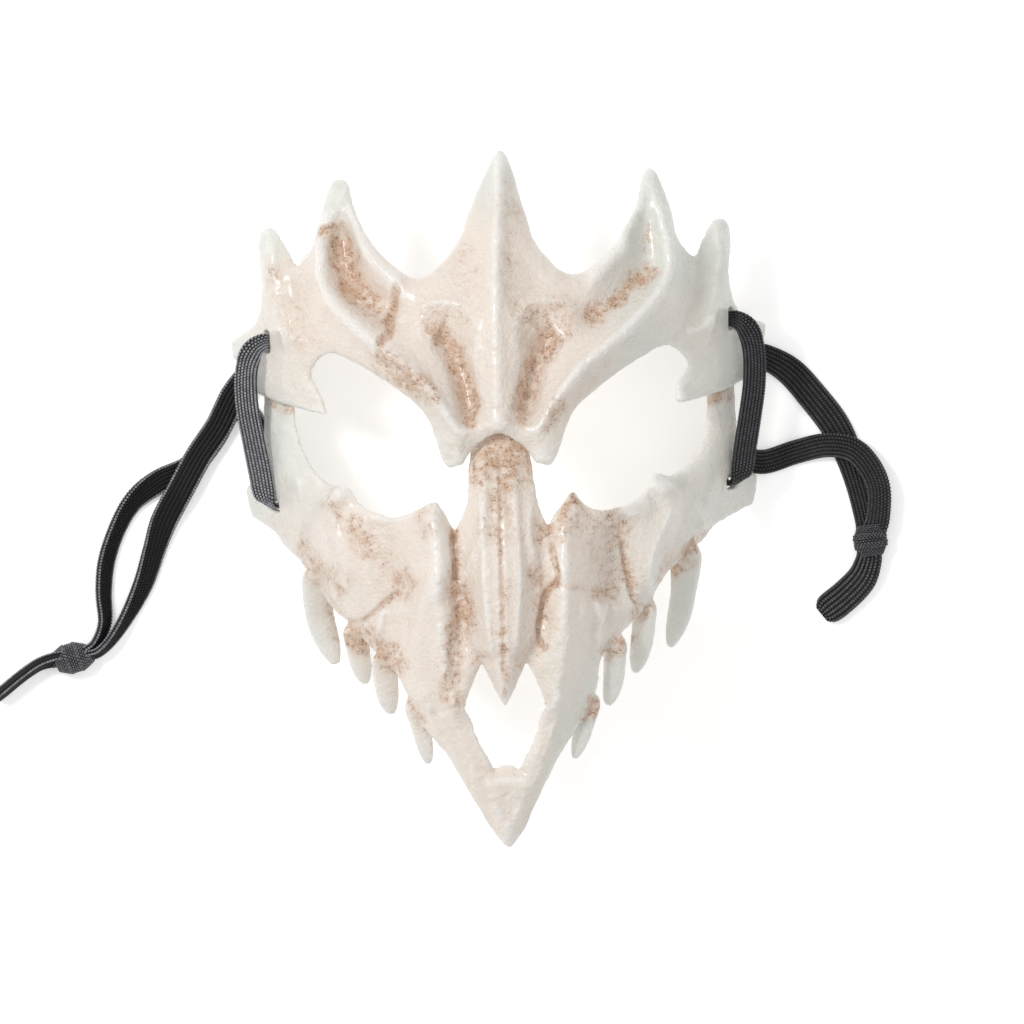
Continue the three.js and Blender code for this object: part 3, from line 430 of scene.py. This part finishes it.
face_stains_and_shade = [
    # Painted shadow: this row and the nasal root row paint the shadow that the nose arch casts on the face
    # plate, brown like the stains.
    ("under the nose arch", 1.0, 14.0, [(-7.4, 14), (0, 19.5), (7.4, 14)]),
    ("face front", 0.12, 26, [(-44, -16), (-8, -34), (30, -14)]),
    ("nasal root", 0.65, 8.0, [(0, 16), (0, -8)]),
    ("nasal centre line", 0.65, 1.3, [(0, 18), (0, -30), (0, -64)]),
    ("nasal ridges", 0.3, 5.0, [(0, -30), (0, -56)]),
    # Brown stain and painted shadow at the arms, where the brow plate's temples lie over them.
    ("left arm under the temple", 1.0, 4.0, [(-76, 34.4), (-73.8, 33.5), (-66.3, 31.6)]),
    ("right arm under the temple", 1.0, 4.0, [(79, 33.6), (71.4, 32.6), (68, 31)]),
    ("left seam crack", 1.0, 2.2, [(-15.6, -10), (-15.6, -18), (-15.4, -27)]),
    ("left seam trough", 0.75, 5.4, [(-14.2, -29.7), (-13.4, -38), (-16, -49.4), (-18, -65)]),
    ("left cheek spot", 0.7, 4.4, [(-46.7, -6.4), (-45.3, -16)]),
    ("left cheek rim", 0.45, 6.0, [(-54.4, -1), (-51.7, -6)]),
    ("left cheek hollow", 0.25, 10, [(-40, -14), (-36, -28)]),
    ("left cheek dimple", 0.65, 4.4, [(-34.6, -25), (-32.6, -28)]),
    ("left cheek crack", 0.55, 1.6, [(-34.7, -29.2), (-39.4, -33.4), (-46.5, -39.2)]),
    ("left inner spike", 0.45, 5.0, [(-26, -3), (-24, -9)]),
    ("left first tooth root", 0.9, 5.6, [(-66, -19), (-60, -22), (-55.5, -27), (-55, -33)]),
    ("left gum", 0.95, 6.4, [(-51, -42), (-44.3, -45.6), (-36, -53)]),
    ("left gum band", 0.5, 6.5, [(-51, -43), (-44, -47), (-36, -51)]),
    ("left fourth tooth root", 0.6, 3.6, [(-31, -67), (-28.6, -72)]),
    ("left cheek back", 0.45, 7.0, [(-73, -8), (-68, -14)]),
    ("right inner spike", 0.8, 3.6, [(24.4, 0), (20.9, -7.4), (19.2, -12.4)]),
    ("right nasal patch", 0.7, 3.4, [(12.9, -8), (12.6, -13)]),
    ("right nasal spot", 0.6, 3.0, [(11.4, -24), (11, -28)]),
    ("right cheek", 0.45, 9.5, [(30, -6), (36, -18), (36, -30)]),
    ("right cheek specks", 0.6, 4.0, [(37, -6), (40, -12)]),
    ("right cheek crack", 0.85, 1.8, [(40.2, -16), (41.3, -24.4), (42.4, -32.1), (44.6, -36.7)]),
    ("right seam crack", 0.75, 1.7,
     [(16.4, -10), (17, -19.2), (18.2, -26.9), (14.1, -31.4), (12, -39.2), (11.4, -45.2), (13.7, -50)]),
    ("right seam trough", 0.45, 5.0, [(12.2, -30), (11.8, -47)]),
    ("right bar step", 0.4, 1.5, [(18.1, -28.6), (28, -30.4), (38, -31.3)]),
    ("right jaw edge", 0.95, 4.4, [(67, -14.1), (58.6, -21.5), (53.5, -26.4)]),
    ("right second tooth root", 0.95, 3.8, [(44.6, -38.6), (49.4, -35)]),
    ("right third tooth root", 0.9, 4.2, [(33.6, -51), (39.7, -48)]),
    ("right fourth tooth root", 0.8, 3.8, [(29, -68), (27, -72.4)]),
    ("left mouth notch", 0.5, 4.0, [(-8.4, -52), (-7, -56)]),
    ("right mouth notch", 0.5, 4.0, [(8.4, -51), (6.6, -55)]),
]
face_warmth = [
    ("nose", 1.0, 34, [(0, 10), (-6, -50)]),
    ("left cheek", 0.75, 36, [(-40, -10), (-30, -45)]),
    ("right cheek", 0.6, 26, [(28, -12), (26, -30)]),
    ("left jaw", 0.15, 22, [(-66, -12), (-50, -40)]),
    ("right arm", 0.4, 18, [(72, 22), (64, 0), (58, -16)]),
    ("beak", 0.7, 26, [(-8, -85), (0, -108)]),
]
face = cast_copy("face_plate", "face_plate_cast")
finish_cast(face, face_lines, face_stains_and_shade, face_warmth)
face.data.materials.append(resin)
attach(face, "root")
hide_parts("face_plate")

# Lace: flat black knitted braid, one length a side. It makes a stitch on the front between the upper
# and the lower slot, both ends run out behind the plates to an overhand knot, and a short tail is left.
lace_width = 0.0084
lace_thickness = 0.0017
lace_columns = 7
stitch_pitch = 0.00095
floor_clearance = 0.0001
route_steps = 24
lace_faces = {
    "slot_upper": (-0.56, 0, 0.83),
    "fold_upper": (-0.2, 0, 1),
    "outward": (0.45, 0, 0.9),
    "slot_lower_front": (0.7, -0.6, 0.4),
    "slot_lower": (0, -1, 0),
    "hollow_lower": (-0.88, -0.2, -0.47),
    "hollow_upper": (-1, 0, 0.1),
    "turn_upper": (-0.6, 0, -0.8),
    "down": (0, 0, -1),
}

# How far the slots and the lace at them sit from their mirrored places
slot_shift = {"left": (0.0004, -0.0017, 0.0004), "right": (0.0008, 0.0022, -0.0011)}

# Right-hand runs at the slots, mirrored on the left: x, y, z in metres, where the flat side looks, and
# the share of its width that the lace keeps where a slot gathers it
stitch_route = [
    (0.0758, 0.0556, 0.0215, "slot_upper", 0.62),
    (0.0784, 0.0553, 0.0232, "slot_upper", 0.72),
    (0.0814, 0.0530, 0.0240, "fold_upper", 0.88),
    (0.0832, 0.0486, 0.0232, "outward", 1),
    (0.0840, 0.0420, 0.0218, "outward", 1),
    (0.0836, 0.0330, 0.0206, "outward", 1),
    (0.0820, 0.0230, 0.0198, "outward", 1),
    (0.0802, 0.0130, 0.0210, "outward", 1),
    (0.0790, 0.0056, 0.0216, "outward", 0.94),
    (0.0772, 0.0022, 0.0200, "slot_lower_front", 0.78),
    (0.0749, 0.0012, 0.0180, "slot_lower", 0.62),
]
upper_descent = [
    (0.0745, 0.0556, 0.0206, "slot_upper", 0.62),
    (0.0724, 0.0552, 0.0186, "slot_upper", 0.72),
    (0.0714, 0.0540, 0.0142, "hollow_upper", 1),
    (0.0734, 0.0516, 0.0090, "turn_upper", 1),
    (0.0774, 0.0484, 0.0054, "down", 1),
]
lower_descent = [
    (0.0740, 0.0012, 0.0174, "slot_lower", 0.62),
    (0.0718, 0.0020, 0.0156, "slot_lower", 0.72),
    (0.0704, 0.0064, 0.0114, "hollow_lower", 1),
]

# Runs on the floor: x, y in metres, roll on edge in degrees, lift over a run that it crosses, and the share
# of its width that the lace has, more where it is stretched flat or its two ends lie side by side
floor_routes = {
    "strand_upper_left": [
        (-0.0820, 0.0434, 0, 0.0024, 1.12),
        (-0.0880, 0.0366, 0, 0.0021, 1.12),
        (-0.0934, 0.0263, 0, 0.0021, 1.12),
        (-0.1002, 0.0166, 0, 0.0026, 1.12),
        (-0.1062, 0.0061, 0, 0.0030, 1.12),
        (-0.1122, -0.0046, -8, 0.0009, 1.12),
        (-0.1156, -0.0138, -24, 0, 1),
        (-0.1195, -0.0250, -42, 0, 1),
        (-0.1251, -0.0357, -62, 0, 1),
        (-0.1304, -0.0434, -72, 0, 1),
        (-0.1350, -0.0476, -76, 0, 1),
        (-0.1392, -0.0488, -76, 0, 1),
    ],
    "strand_lower_left": [
        (-0.0724, 0.0140, 0, 0.0056, 1),
        (-0.0792, 0.0236, 0, 0.0016, 1),
        (-0.0842, 0.0306, 0, 0, 1),
        (-0.0896, 0.0316, 0, 0, 1),
        (-0.0952, 0.0224, 0, 0, 1),
        (-0.1030, 0.0134, 0, 0, 1),
        (-0.1136, 0.0086, -6, 0, 1),
        (-0.1221, 0.0024, -40, 0, 1),
        (-0.1276, -0.0064, -52, 0, 1),
        (-0.1316, -0.0174, -54, 0, 1),
        (-0.1328, -0.0280, -58, 0, 1),
        (-0.1326, -0.0376, -66, 0, 1),
        (-0.1356, -0.0444, -74, 0, 1),
        (-0.1394, -0.0474, -74, 0, 1),
    ],
    "strand_upper_right": [
        (0.0820, 0.0466, 0, 0.0014, 1),
        (0.0888, 0.0448, 0, 0, 1.05),
        (0.0966, 0.0399, 0, 0, 1.2),
        (0.1040, 0.0313, 0, 0, 1.25),
        (0.1109, 0.0217, 0, 0, 1.25),
        (0.1152, 0.0119, 0, 0, 1.15),
        (0.1182, 0.0014, 0, 0, 1),
        (0.1208, -0.0100, 0, 0.0010, 1),
        (0.1210, -0.0140, 0, 0.0016, 1),
    ],
    "strand_lower_right": [
        (0.0724, 0.0116, 0, 0.0064, 1),
        (0.0786, 0.0120, 0, 0.0016, 1),
        (0.0870, 0.0102, 8, 0, 1),
        (0.0976, 0.0132, 14, 0, 1),
        (0.1076, 0.0152, 0, 0.0024, 1),
        (0.1162, 0.0138, 0, 0.0026, 1),
        (0.1218, 0.0082, 8, 0.0026, 1),
        (0.1250, 0.0004, 24, 0.0022, 1),
        (0.1244, -0.0096, 18, 0.0024, 1),
        (0.1226, -0.0142, 8, 0.0030, 1),
    ],
    "tail_left": [
        (-0.1456, -0.0492, -70, 0, 1),
        (-0.1498, -0.0497, -72, 0, 1),
        (-0.1550, -0.0512, -78, 0, 1),
        (-0.1606, -0.0548, -80, 0, 1),
        (-0.1660, -0.0590, -80, 0, 1),
        (-0.1694, -0.0616, -80, 0, 0.9),
    ],
    "tail_right": [
        (0.1214, -0.0190, 4, 0.0016, 1),
        (0.1209, -0.0236, 4, 0.0010, 1.1),
        (0.1184, -0.0294, 4, 0, 1.25),
        (0.1130, -0.0348, 0, 0, 1.3),
        (0.1072, -0.0392, 0, 0, 1.25),
        (0.1050, -0.0409, 0, 0, 0.7),
    ],
}


def slot_rows(route, side):
    """Rows of a run at the slots of one side: place, where the flat side looks, roll, share of the width."""
    mirror = -1 if side == "left" else 1
    dx, dy, dz = slot_shift[side]
    rows = []
    for x, y, z, looks, gather in route:
        fx, fy, fz = lace_faces[looks]
        rows.append(((mirror * x + dx, y + dy, z + dz), (mirror * fx, fy, fz), 0.0, gather))
    return rows


def floor_rows(route, layers=1):
    """Rows of a run that lies on the floor, as high as its roll and what it crosses need."""
    rows = []
    for x, y, roll, over, gather in route:
        turn = math.radians(roll)
        standing = (lace_width * abs(math.sin(turn)) + layers * lace_thickness * math.cos(turn)) / 2
        rows.append(((x, y, standing + floor_clearance + over), lace_faces["down"], turn, gather))
    return rows


def lace_path(rows, step):
    """Even places along a run: place, directions along, across and out, share of the width; its length."""
    joined = [np.concatenate([place, looks, [roll, gather]]) for place, looks, roll, gather in rows]
    dense = smooth_path(joined, route_steps)
    gaps = np.linalg.norm(np.diff(dense[:, :3], axis=0), axis=1)
    length = np.concatenate([[0], np.cumsum(gaps)])
    count = max(2, round(length[-1] / step))
    even = np.linspace(0, length[-1], count + 1)
    values = np.stack([np.interp(even, length, column) for column in dense.T], axis=1)
    place, looks, roll, gather = values[:, :3], values[:, 3:6], values[:, 6:7], values[:, 7:]
    along = np.gradient(place, axis=0)
    along /= np.linalg.norm(along, axis=1, keepdims=True)
    flat = np.cross(along, looks)
    flat /= np.linalg.norm(flat, axis=1, keepdims=True)
    across = flat * np.cos(roll) + np.cross(along, flat) * np.sin(roll)
    return place, along, across, np.cross(along, across), gather, length[-1]


def braid_material():
    """Black yarn with painted light and shade: the core between the loops is painted darkest, as shade in
    the gaps, and loops are painted lighter by the painted light of their stretch.
    """
    # The core colours are painted darker than the yarn, as shade between the loops; the lit colours are
    # painted light.
    dull_yarn = (0.006, 0.006, 0.007, 1)
    lit_yarn = (0.36, 0.36, 0.39, 1)
    painted_shade_core = (0.0015, 0.0015, 0.0015, 1)
    lit_core = (0.02, 0.02, 0.022, 1)
    material, tree, shader = new_material("black_braid")
    loop = add_node(tree, "ShaderNodeAttribute", attribute_name="is_stitch").outputs["Fac"]
    shade = add_node(tree, "ShaderNodeAttribute", attribute_name="shade").outputs["Fac"]
    yarn = mix_colours(tree, shade, dull_yarn, lit_yarn)
    core = mix_colours(tree, shade, painted_shade_core, lit_core)
    tree.links.new(mix_colours(tree, loop, core, yarn), shader.inputs["Base Color"])
    shader.inputs["Roughness"].default_value = 0.5
    shader.inputs["Specular IOR Level"].default_value = 0.25
    return material


def braid_tree():
    """Geometry Nodes: a leaf-shaped loop on each stitch point, slanted as its column is, and the core."""
    tree = bpy.data.node_groups.new("knitted_braid", "GeometryNodeTree")
    sockets = tree.interface
    sockets.new_socket("Geometry", in_out="INPUT", socket_type="NodeSocketGeometry")
    for name in ("Loop Length", "Loop Width", "Loop Height"):
        sockets.new_socket(name, in_out="INPUT", socket_type="NodeSocketFloat")
    sockets.new_socket("Material", in_out="INPUT", socket_type="NodeSocketMaterial")
    sockets.new_socket("Geometry", in_out="OUTPUT", socket_type="NodeSocketGeometry")
    given = add_node(tree, "NodeGroupInput").outputs
    result = add_node(tree, "NodeGroupOutput")

    def named(label, kind):
        found = add_node(tree, "GeometryNodeInputNamedAttribute", {"Name": label}, data_type=kind)
        return found.outputs["Attribute"]

    def vector(**axes):
        return add_node(tree, "ShaderNodeCombineXYZ", axes).outputs[0]

    chosen = {"Geometry": given["Geometry"], "Selection": named("is_stitch", "FLOAT")}
    split = add_node(tree, "GeometryNodeSeparateGeometry", chosen)
    leaf_sides = {"Segments": 6, "Rings": 3, "Radius": 0.5}
    leaf = add_node(tree, "GeometryNodeMeshUVSphere", leaf_sides).outputs["Mesh"]
    size = vector(X=given["Loop Width"], Y=given["Loop Length"], Z=given["Loop Height"])
    sized = add_node(tree, "GeometryNodeTransform", {"Geometry": leaf, "Scale": size}).outputs[0]
    axes = {"Primary Axis": named("out", "FLOAT_VECTOR"), "Secondary Axis": named("along", "FLOAT_VECTOR")}
    turned = add_node(tree, "FunctionNodeAxesToRotation", axes, primary_axis="Z", secondary_axis="Y")
    spread = vector(X=named("gather", "FLOAT"), Y=1.0, Z=1.0)
    set_out = {
        "Points": split.outputs["Selection"],
        "Instance": sized,
        "Rotation": turned.outputs[0],
        "Scale": spread,
    }
    loops = add_node(tree, "GeometryNodeInstanceOnPoints", set_out)
    both = add_node(tree, "GeometryNodeJoinGeometry")
    tree.links.new(split.outputs["Inverted"], both.inputs[0])
    tree.links.new(loops.outputs[0], both.inputs[0])
    real = add_node(tree, "GeometryNodeRealizeInstances", {"Geometry": both.outputs[0]})
    smooth = add_node(tree, "GeometryNodeSetShadeSmooth", {"Geometry": real.outputs[0]})
    coloured = {"Geometry": smooth.outputs[0], "Material": given["Material"]}
    tree.links.new(add_node(tree, "GeometryNodeSetMaterial", coloured).outputs[0], result.inputs[0])
    return tree


braid = braid_material()
knit = braid_tree()
knit_inputs = {item.name: item.identifier for item in knit.interface.items_tree if item.in_out == "INPUT"}
core_step = 0.0008
rib_samples = 4
rib_roundness = 0.6
rib_floor = 0.5
rib_rise = 0.32
edge_squareness = 8
core_share = 0.97
edge_share = 0.96
loop_slant = 0.5
loop_stand = 0.8
edge_drop = 0.25
edge_turn = 0.6
edge_column = 0.8
loop_length = 1.15 * stitch_pitch
loop_width = 0.8 * lace_width / lace_columns
loop_height = 0.45 * lace_thickness
dimmest_loop = 0.6
path_step = 0.002
loop_shades = np.random.default_rng(6)

# Painted light: how light the yarn of each stretch is painted, as lit or shaded, and the painted highlight
# on the yarn along the edges of the strands and tails
painted_yarn_light = {
    "stitch_left": 1.0, "knot_left": 0.55, "tail_left": 0.05, "strand_left": 0.02, "edge_left": 0.8,
    "stitch_right": 0.24, "knot_right": 0.34, "tail_right": 0.3, "strand_right": 0.16, "edge_right": 0.24,
}


def lace_core(rows, layers, first):
    """Points and faces of the ribbed core of one run, its point numbers starting at first."""
    place, _, across, out, gather, _ = lace_path(rows, core_step)
    half_thick = layers * lace_thickness / 2
    u = np.linspace(-1, 1, lace_columns * rib_samples + 1)[1:-1]
    rib = np.abs(np.sin(0.5 * math.pi * lace_columns * (u + 1))) ** rib_roundness
    height = half_thick * (rib_floor + rib_rise * rib) * (1 - u**edge_squareness) ** 0.5
    top = list(zip(core_share * u, height))
    under = list(zip(core_share * u[::-1], -height[::-1]))
    section = [(-edge_share, 0)] + top + [(edge_share, 0)] + under
    half_wide = lace_width / 2 * gather
    rings = np.stack([place + across * (s * half_wide) + out * t for s, t in section], axis=1)
    count, sides = rings.shape[:2]
    faces = []
    for i in range(count - 1):
        for k in range(sides):
            n = (k + 1) % sides
            ring, after = first + i * sides, first + (i + 1) * sides
            faces.append((ring + n, ring + k, after + k, after + n))
    faces.append(tuple(first + k for k in range(sides)))
    faces.append(tuple(first + (count - 1) * sides + k for k in range(sides - 1, -1, -1)))
    return rings.reshape(-1, 3), faces


def lace_stitches(rows, layers):
    """A row for each stitch of one run: place, directions out and along, share of the width, column."""
    place, along, across, out, gather, _ = lace_path(rows, stitch_pitch / 2)
    half_thick = layers * lace_thickness / 2
    half_wide = lace_width / 2 * gather
    stitches = []
    for column in range(lace_columns):
        lean = (2 * column + 1) / lace_columns - 1
        pick = slice(1 + column % 2, -1, 2)
        slant = loop_slant if column % 2 else -loop_slant
        for face in (-1, 1):
            stand = face * half_thick * (loop_stand - edge_drop * lean**6)
            spot = place + across * (lean * half_wide) + out * stand
            looks = face * out + across * (edge_turn * lean**3)
            row = [spot, looks, along + slant * across, gather, 0 * gather + abs(lean)]
            stitches.append(np.hstack(row)[pick])
    return np.vstack(stitches)


def lace_piece(name, runs, painted_stretch_light, painted_edge_light):
    """Lace in one or more runs, each with its rows and layers: ribbed cores with knitted loops."""
    points, faces, stitches = np.empty((0, 3)), [], np.empty((0, 11))
    for rows, layers in runs:
        more_points, more_faces = lace_core(rows, layers, len(points))
        points = np.vstack([points, more_points])
        faces += more_faces
        stitches = np.vstack([stitches, lace_stitches(rows, layers)])
    mesh = bpy.data.meshes.new(name)
    loose = stitches[:, :3]
    core = len(points)
    mesh.from_pydata(points.tolist(), [], faces)
    mesh.vertices.add(len(loose))
    mesh.vertices.foreach_set("co", np.vstack([points, loose]).ravel())
    blank = np.zeros((core, 8))
    values = np.vstack([blank, stitches[:, 3:]])
    is_stitch = np.concatenate([np.zeros(core), np.ones(len(loose))])
    mesh.attributes.new("is_stitch", "FLOAT", "POINT").data.foreach_set("value", is_stitch)
    mesh.attributes.new("gather", "FLOAT", "POINT").data.foreach_set("value", values[:, 6].copy())
    # Painted light: the loops of each stretch, and those along its edges, are painted lighter or darker as
    # lit or shaded, times a random spread of tone.
    spread = dimmest_loop + (1 - dimmest_loop) * loop_shades.random(len(values))
    shade = np.where(values[:, 7] > edge_column, painted_edge_light, painted_stretch_light) * spread
    mesh.attributes.new("shade", "FLOAT", "POINT").data.foreach_set("value", shade)
    for label, columns in (("out", values[:, :3]), ("along", values[:, 3:6])):
        mesh.attributes.new(label, "FLOAT_VECTOR", "POINT").data.foreach_set("vector", columns.ravel())
    piece = bpy.data.objects.new(name, mesh)
    bpy.context.scene.collection.objects.link(piece)
    loops = piece.modifiers.new("knit", "NODES")
    loops.node_group = knit
    loops[knit_inputs["Loop Length"]] = loop_length
    loops[knit_inputs["Loop Width"]] = loop_width
    loops[knit_inputs["Loop Height"]] = loop_height
    loops[knit_inputs["Material"]] = braid
    make_plain(piece)
    places = places_of(piece.data)
    places[:, 2] = np.maximum(places[:, 2], 0)
    piece.data.vertices.foreach_set("co", places.ravel())
    piece.data.update()
    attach(piece, "root")
    path, *_, length = lace_path(runs[0][0], path_step)
    return piece, path, length


# Knots: the same lace tied on itself. Both strands of a side run into its knot, the lace is wound round
# them there, gathered narrow, and the two ends leave together as the tail.
knots = {
    "left": {
        "place": (-0.1436, -0.0492), "turn": 10, "half_wide": 0.0041, "half_high": 0.0038, "slide": 0.0104,
    },
    "right": {
        "place": (0.1217, -0.0167), "turn": 90, "half_wide": 0.0047, "half_high": 0.0030, "slide": 0.0080,
    },
}
knot_turns = 3
knot_start = 0.25
places_a_turn = 12
knot_gather = 0.6
knot_taper = 0.36
knot_slope = 0.75
filler_gather = 0.5
filler_reach = 0.7
filler_layers = 2
tail_layers = 2


def knot_runs(knot):
    """The runs of a knot: the turns of lace round it, and the strands that fill its middle."""
    turn = math.radians(knot["turn"])
    axis = np.array((math.cos(turn), math.sin(turn), 0))
    level = np.array((-math.sin(turn), math.cos(turn), 0))
    upright = np.array((0, 0, 1))
    middle = np.array((*knot["place"], knot["half_high"] + lace_thickness / 2))
    wound = []
    wide, high = knot["half_wide"], knot["half_high"]
    for u in np.linspace(0, 1, places_a_turn * knot_turns + 1):
        angle = 2 * math.pi * (knot_turns * u - knot_start)
        full = 1 - knot_taper * (2 * u - 1) ** 2
        ring = level * (full * wide * math.cos(angle)) + upright * (full * high * math.sin(angle))
        looks = level * (math.cos(angle) / wide) + upright * (math.sin(angle) / high)
        looks = looks / np.linalg.norm(looks) + axis * (knot_slope * (2 * u - 1))
        wound.append((middle + axis * ((u - 0.5) * knot["slide"]) + ring, looks, 0.0, knot_gather))
    ends = [middle + axis * (share * knot["slide"]) for share in (-filler_reach, 0, filler_reach)]
    filler = [(end, lace_faces["down"], 0.0, filler_gather) for end in ends]
    return [(wound, 1), (filler, filler_layers)]


for side in ("left", "right"):
    rows = slot_rows(stitch_route, side)
    painted_edge_level = painted_yarn_light[f"edge_{side}"]
    painted_stretch_light = painted_yarn_light[f"stitch_{side}"]
    stitch, path, length = lace_piece(f"stitch_{side}_braid", [(rows, 1)], painted_stretch_light, painted_stretch_light)
    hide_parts(f"stitch_{side}")

    painted_stretch_light = painted_yarn_light[f"knot_{side}"]
    knot, _, _ = lace_piece(f"knot_{side}_braid", knot_runs(knots[side]), painted_stretch_light, painted_stretch_light)
    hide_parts(f"knot_{side}")
    rows = floor_rows(floor_routes[f"tail_{side}"], tail_layers)
    tail, _, _ = lace_piece(f"tail_{side}_braid", [(rows, tail_layers)], painted_yarn_light[f"tail_{side}"], painted_edge_level)
    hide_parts(f"tail_{side}")

    for level, descent, ends in (("upper", upper_descent, [knot, tail]), ("lower", lower_descent, [])):
        label = f"strand_{level}_{side}"
        rows = slot_rows(descent, side) + floor_rows(floor_routes[label])
        strand, path, length = lace_piece(f"{label}_braid", [(rows, 1)], painted_yarn_light[f"strand_{side}"], painted_edge_level)
        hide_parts(label)

# Floor, light and camera: a plain pale surface that glows a little, as a lit studio table does, under a
# bright dome, a lamp on the left and a weaker one on the right, seen from straight above the face.
floor_mesh = bpy.data.meshes.new("floor")
floor_half = 3.0
floor_mesh.from_pydata([(-floor_half, -floor_half, 0), (floor_half, -floor_half, 0),
                        (floor_half, floor_half, 0), (-floor_half, floor_half, 0)], [], [(0, 1, 2, 3)])
floor = bpy.data.objects.new("floor", floor_mesh)
bpy.context.scene.collection.objects.link(floor)
pale, _, pale_shader = new_material("pale_floor")
pale_shader.inputs["Base Color"].default_value = (0.92, 0.92, 0.92, 1)
pale_shader.inputs["Roughness"].default_value = 0.9
pale_shader.inputs["Emission Color"].default_value = (1, 1, 1, 1)
pale_shader.inputs["Emission Strength"].default_value = 0.36
floor_mesh.materials.append(pale)

world = bpy.data.worlds.new("studio")
bpy.context.scene.world = world
world.use_nodes = True
dome = world.node_tree
dome.nodes["Background"].inputs["Color"].default_value = (1, 1, 1, 1)
direction = add_node(dome, "ShaderNodeTexCoord").outputs["Generated"]
upward = add_node(dome, "ShaderNodeSeparateXYZ", {"Vector": direction}).outputs["Z"]
glow = add_node(dome, "ShaderNodeMapRange", {"Value": upward, "To Min": 0.33, "To Max": 0.77}).outputs[0]
dome.links.new(glow, dome.nodes["Background"].inputs["Strength"])


def soft_box(name, place, target, size, power):
    """A square lamp at a place, turned to its target."""
    lamp = bpy.data.lights.new(name, "AREA")
    lamp.size = size
    lamp.energy = power
    lit = bpy.data.objects.new(name, lamp)
    bpy.context.scene.collection.objects.link(lit)
    lit.location = place
    lit.rotation_euler = (Vector(target) - Vector(place)).to_track_quat("-Z", "Y").to_euler()


mask_middle = (0, 0, 0.04)
soft_box("key", place=(-0.75, 0.4, 1.1), target=mask_middle, size=0.3, power=8.2)
soft_box("fill", place=(0.8, 0.1, 1.2), target=mask_middle, size=0.9, power=1.8)

photo_pixels = 1024
pixel_size = 0.00033
photo_zero = (501, 499)
camera_distance = 8.0
camera_roll = math.radians(1.4)
camera_yaw = math.radians(0.5)
lens_plane = 0.04

lens = bpy.data.cameras.new("camera")
lens.sensor_width = 36
lens.lens = lens.sensor_width * (camera_distance - lens_plane) / (photo_pixels * pixel_size)
camera = bpy.data.objects.new("camera", lens)
bpy.context.scene.collection.objects.link(camera)
shift_x = (photo_pixels / 2 - photo_zero[0]) * pixel_size
shift_y = (photo_zero[1] - photo_pixels / 2) * pixel_size
aim = Vector((
    shift_x * math.cos(camera_roll) + shift_y * math.sin(camera_roll),
    shift_y * math.cos(camera_roll) - shift_x * math.sin(camera_roll),
    lens_plane,
))
turn = Matrix.Rotation(camera_yaw, 3, "Y")
camera.matrix_world = (
    Matrix.Translation(aim + turn @ Vector((0, 0, camera_distance - lens_plane)))
    @ (turn @ Matrix.Rotation(-camera_roll, 3, "Z")).to_4x4()
)
bpy.context.scene.camera = camera
bpy.context.scene.view_settings.view_transform = "Standard"
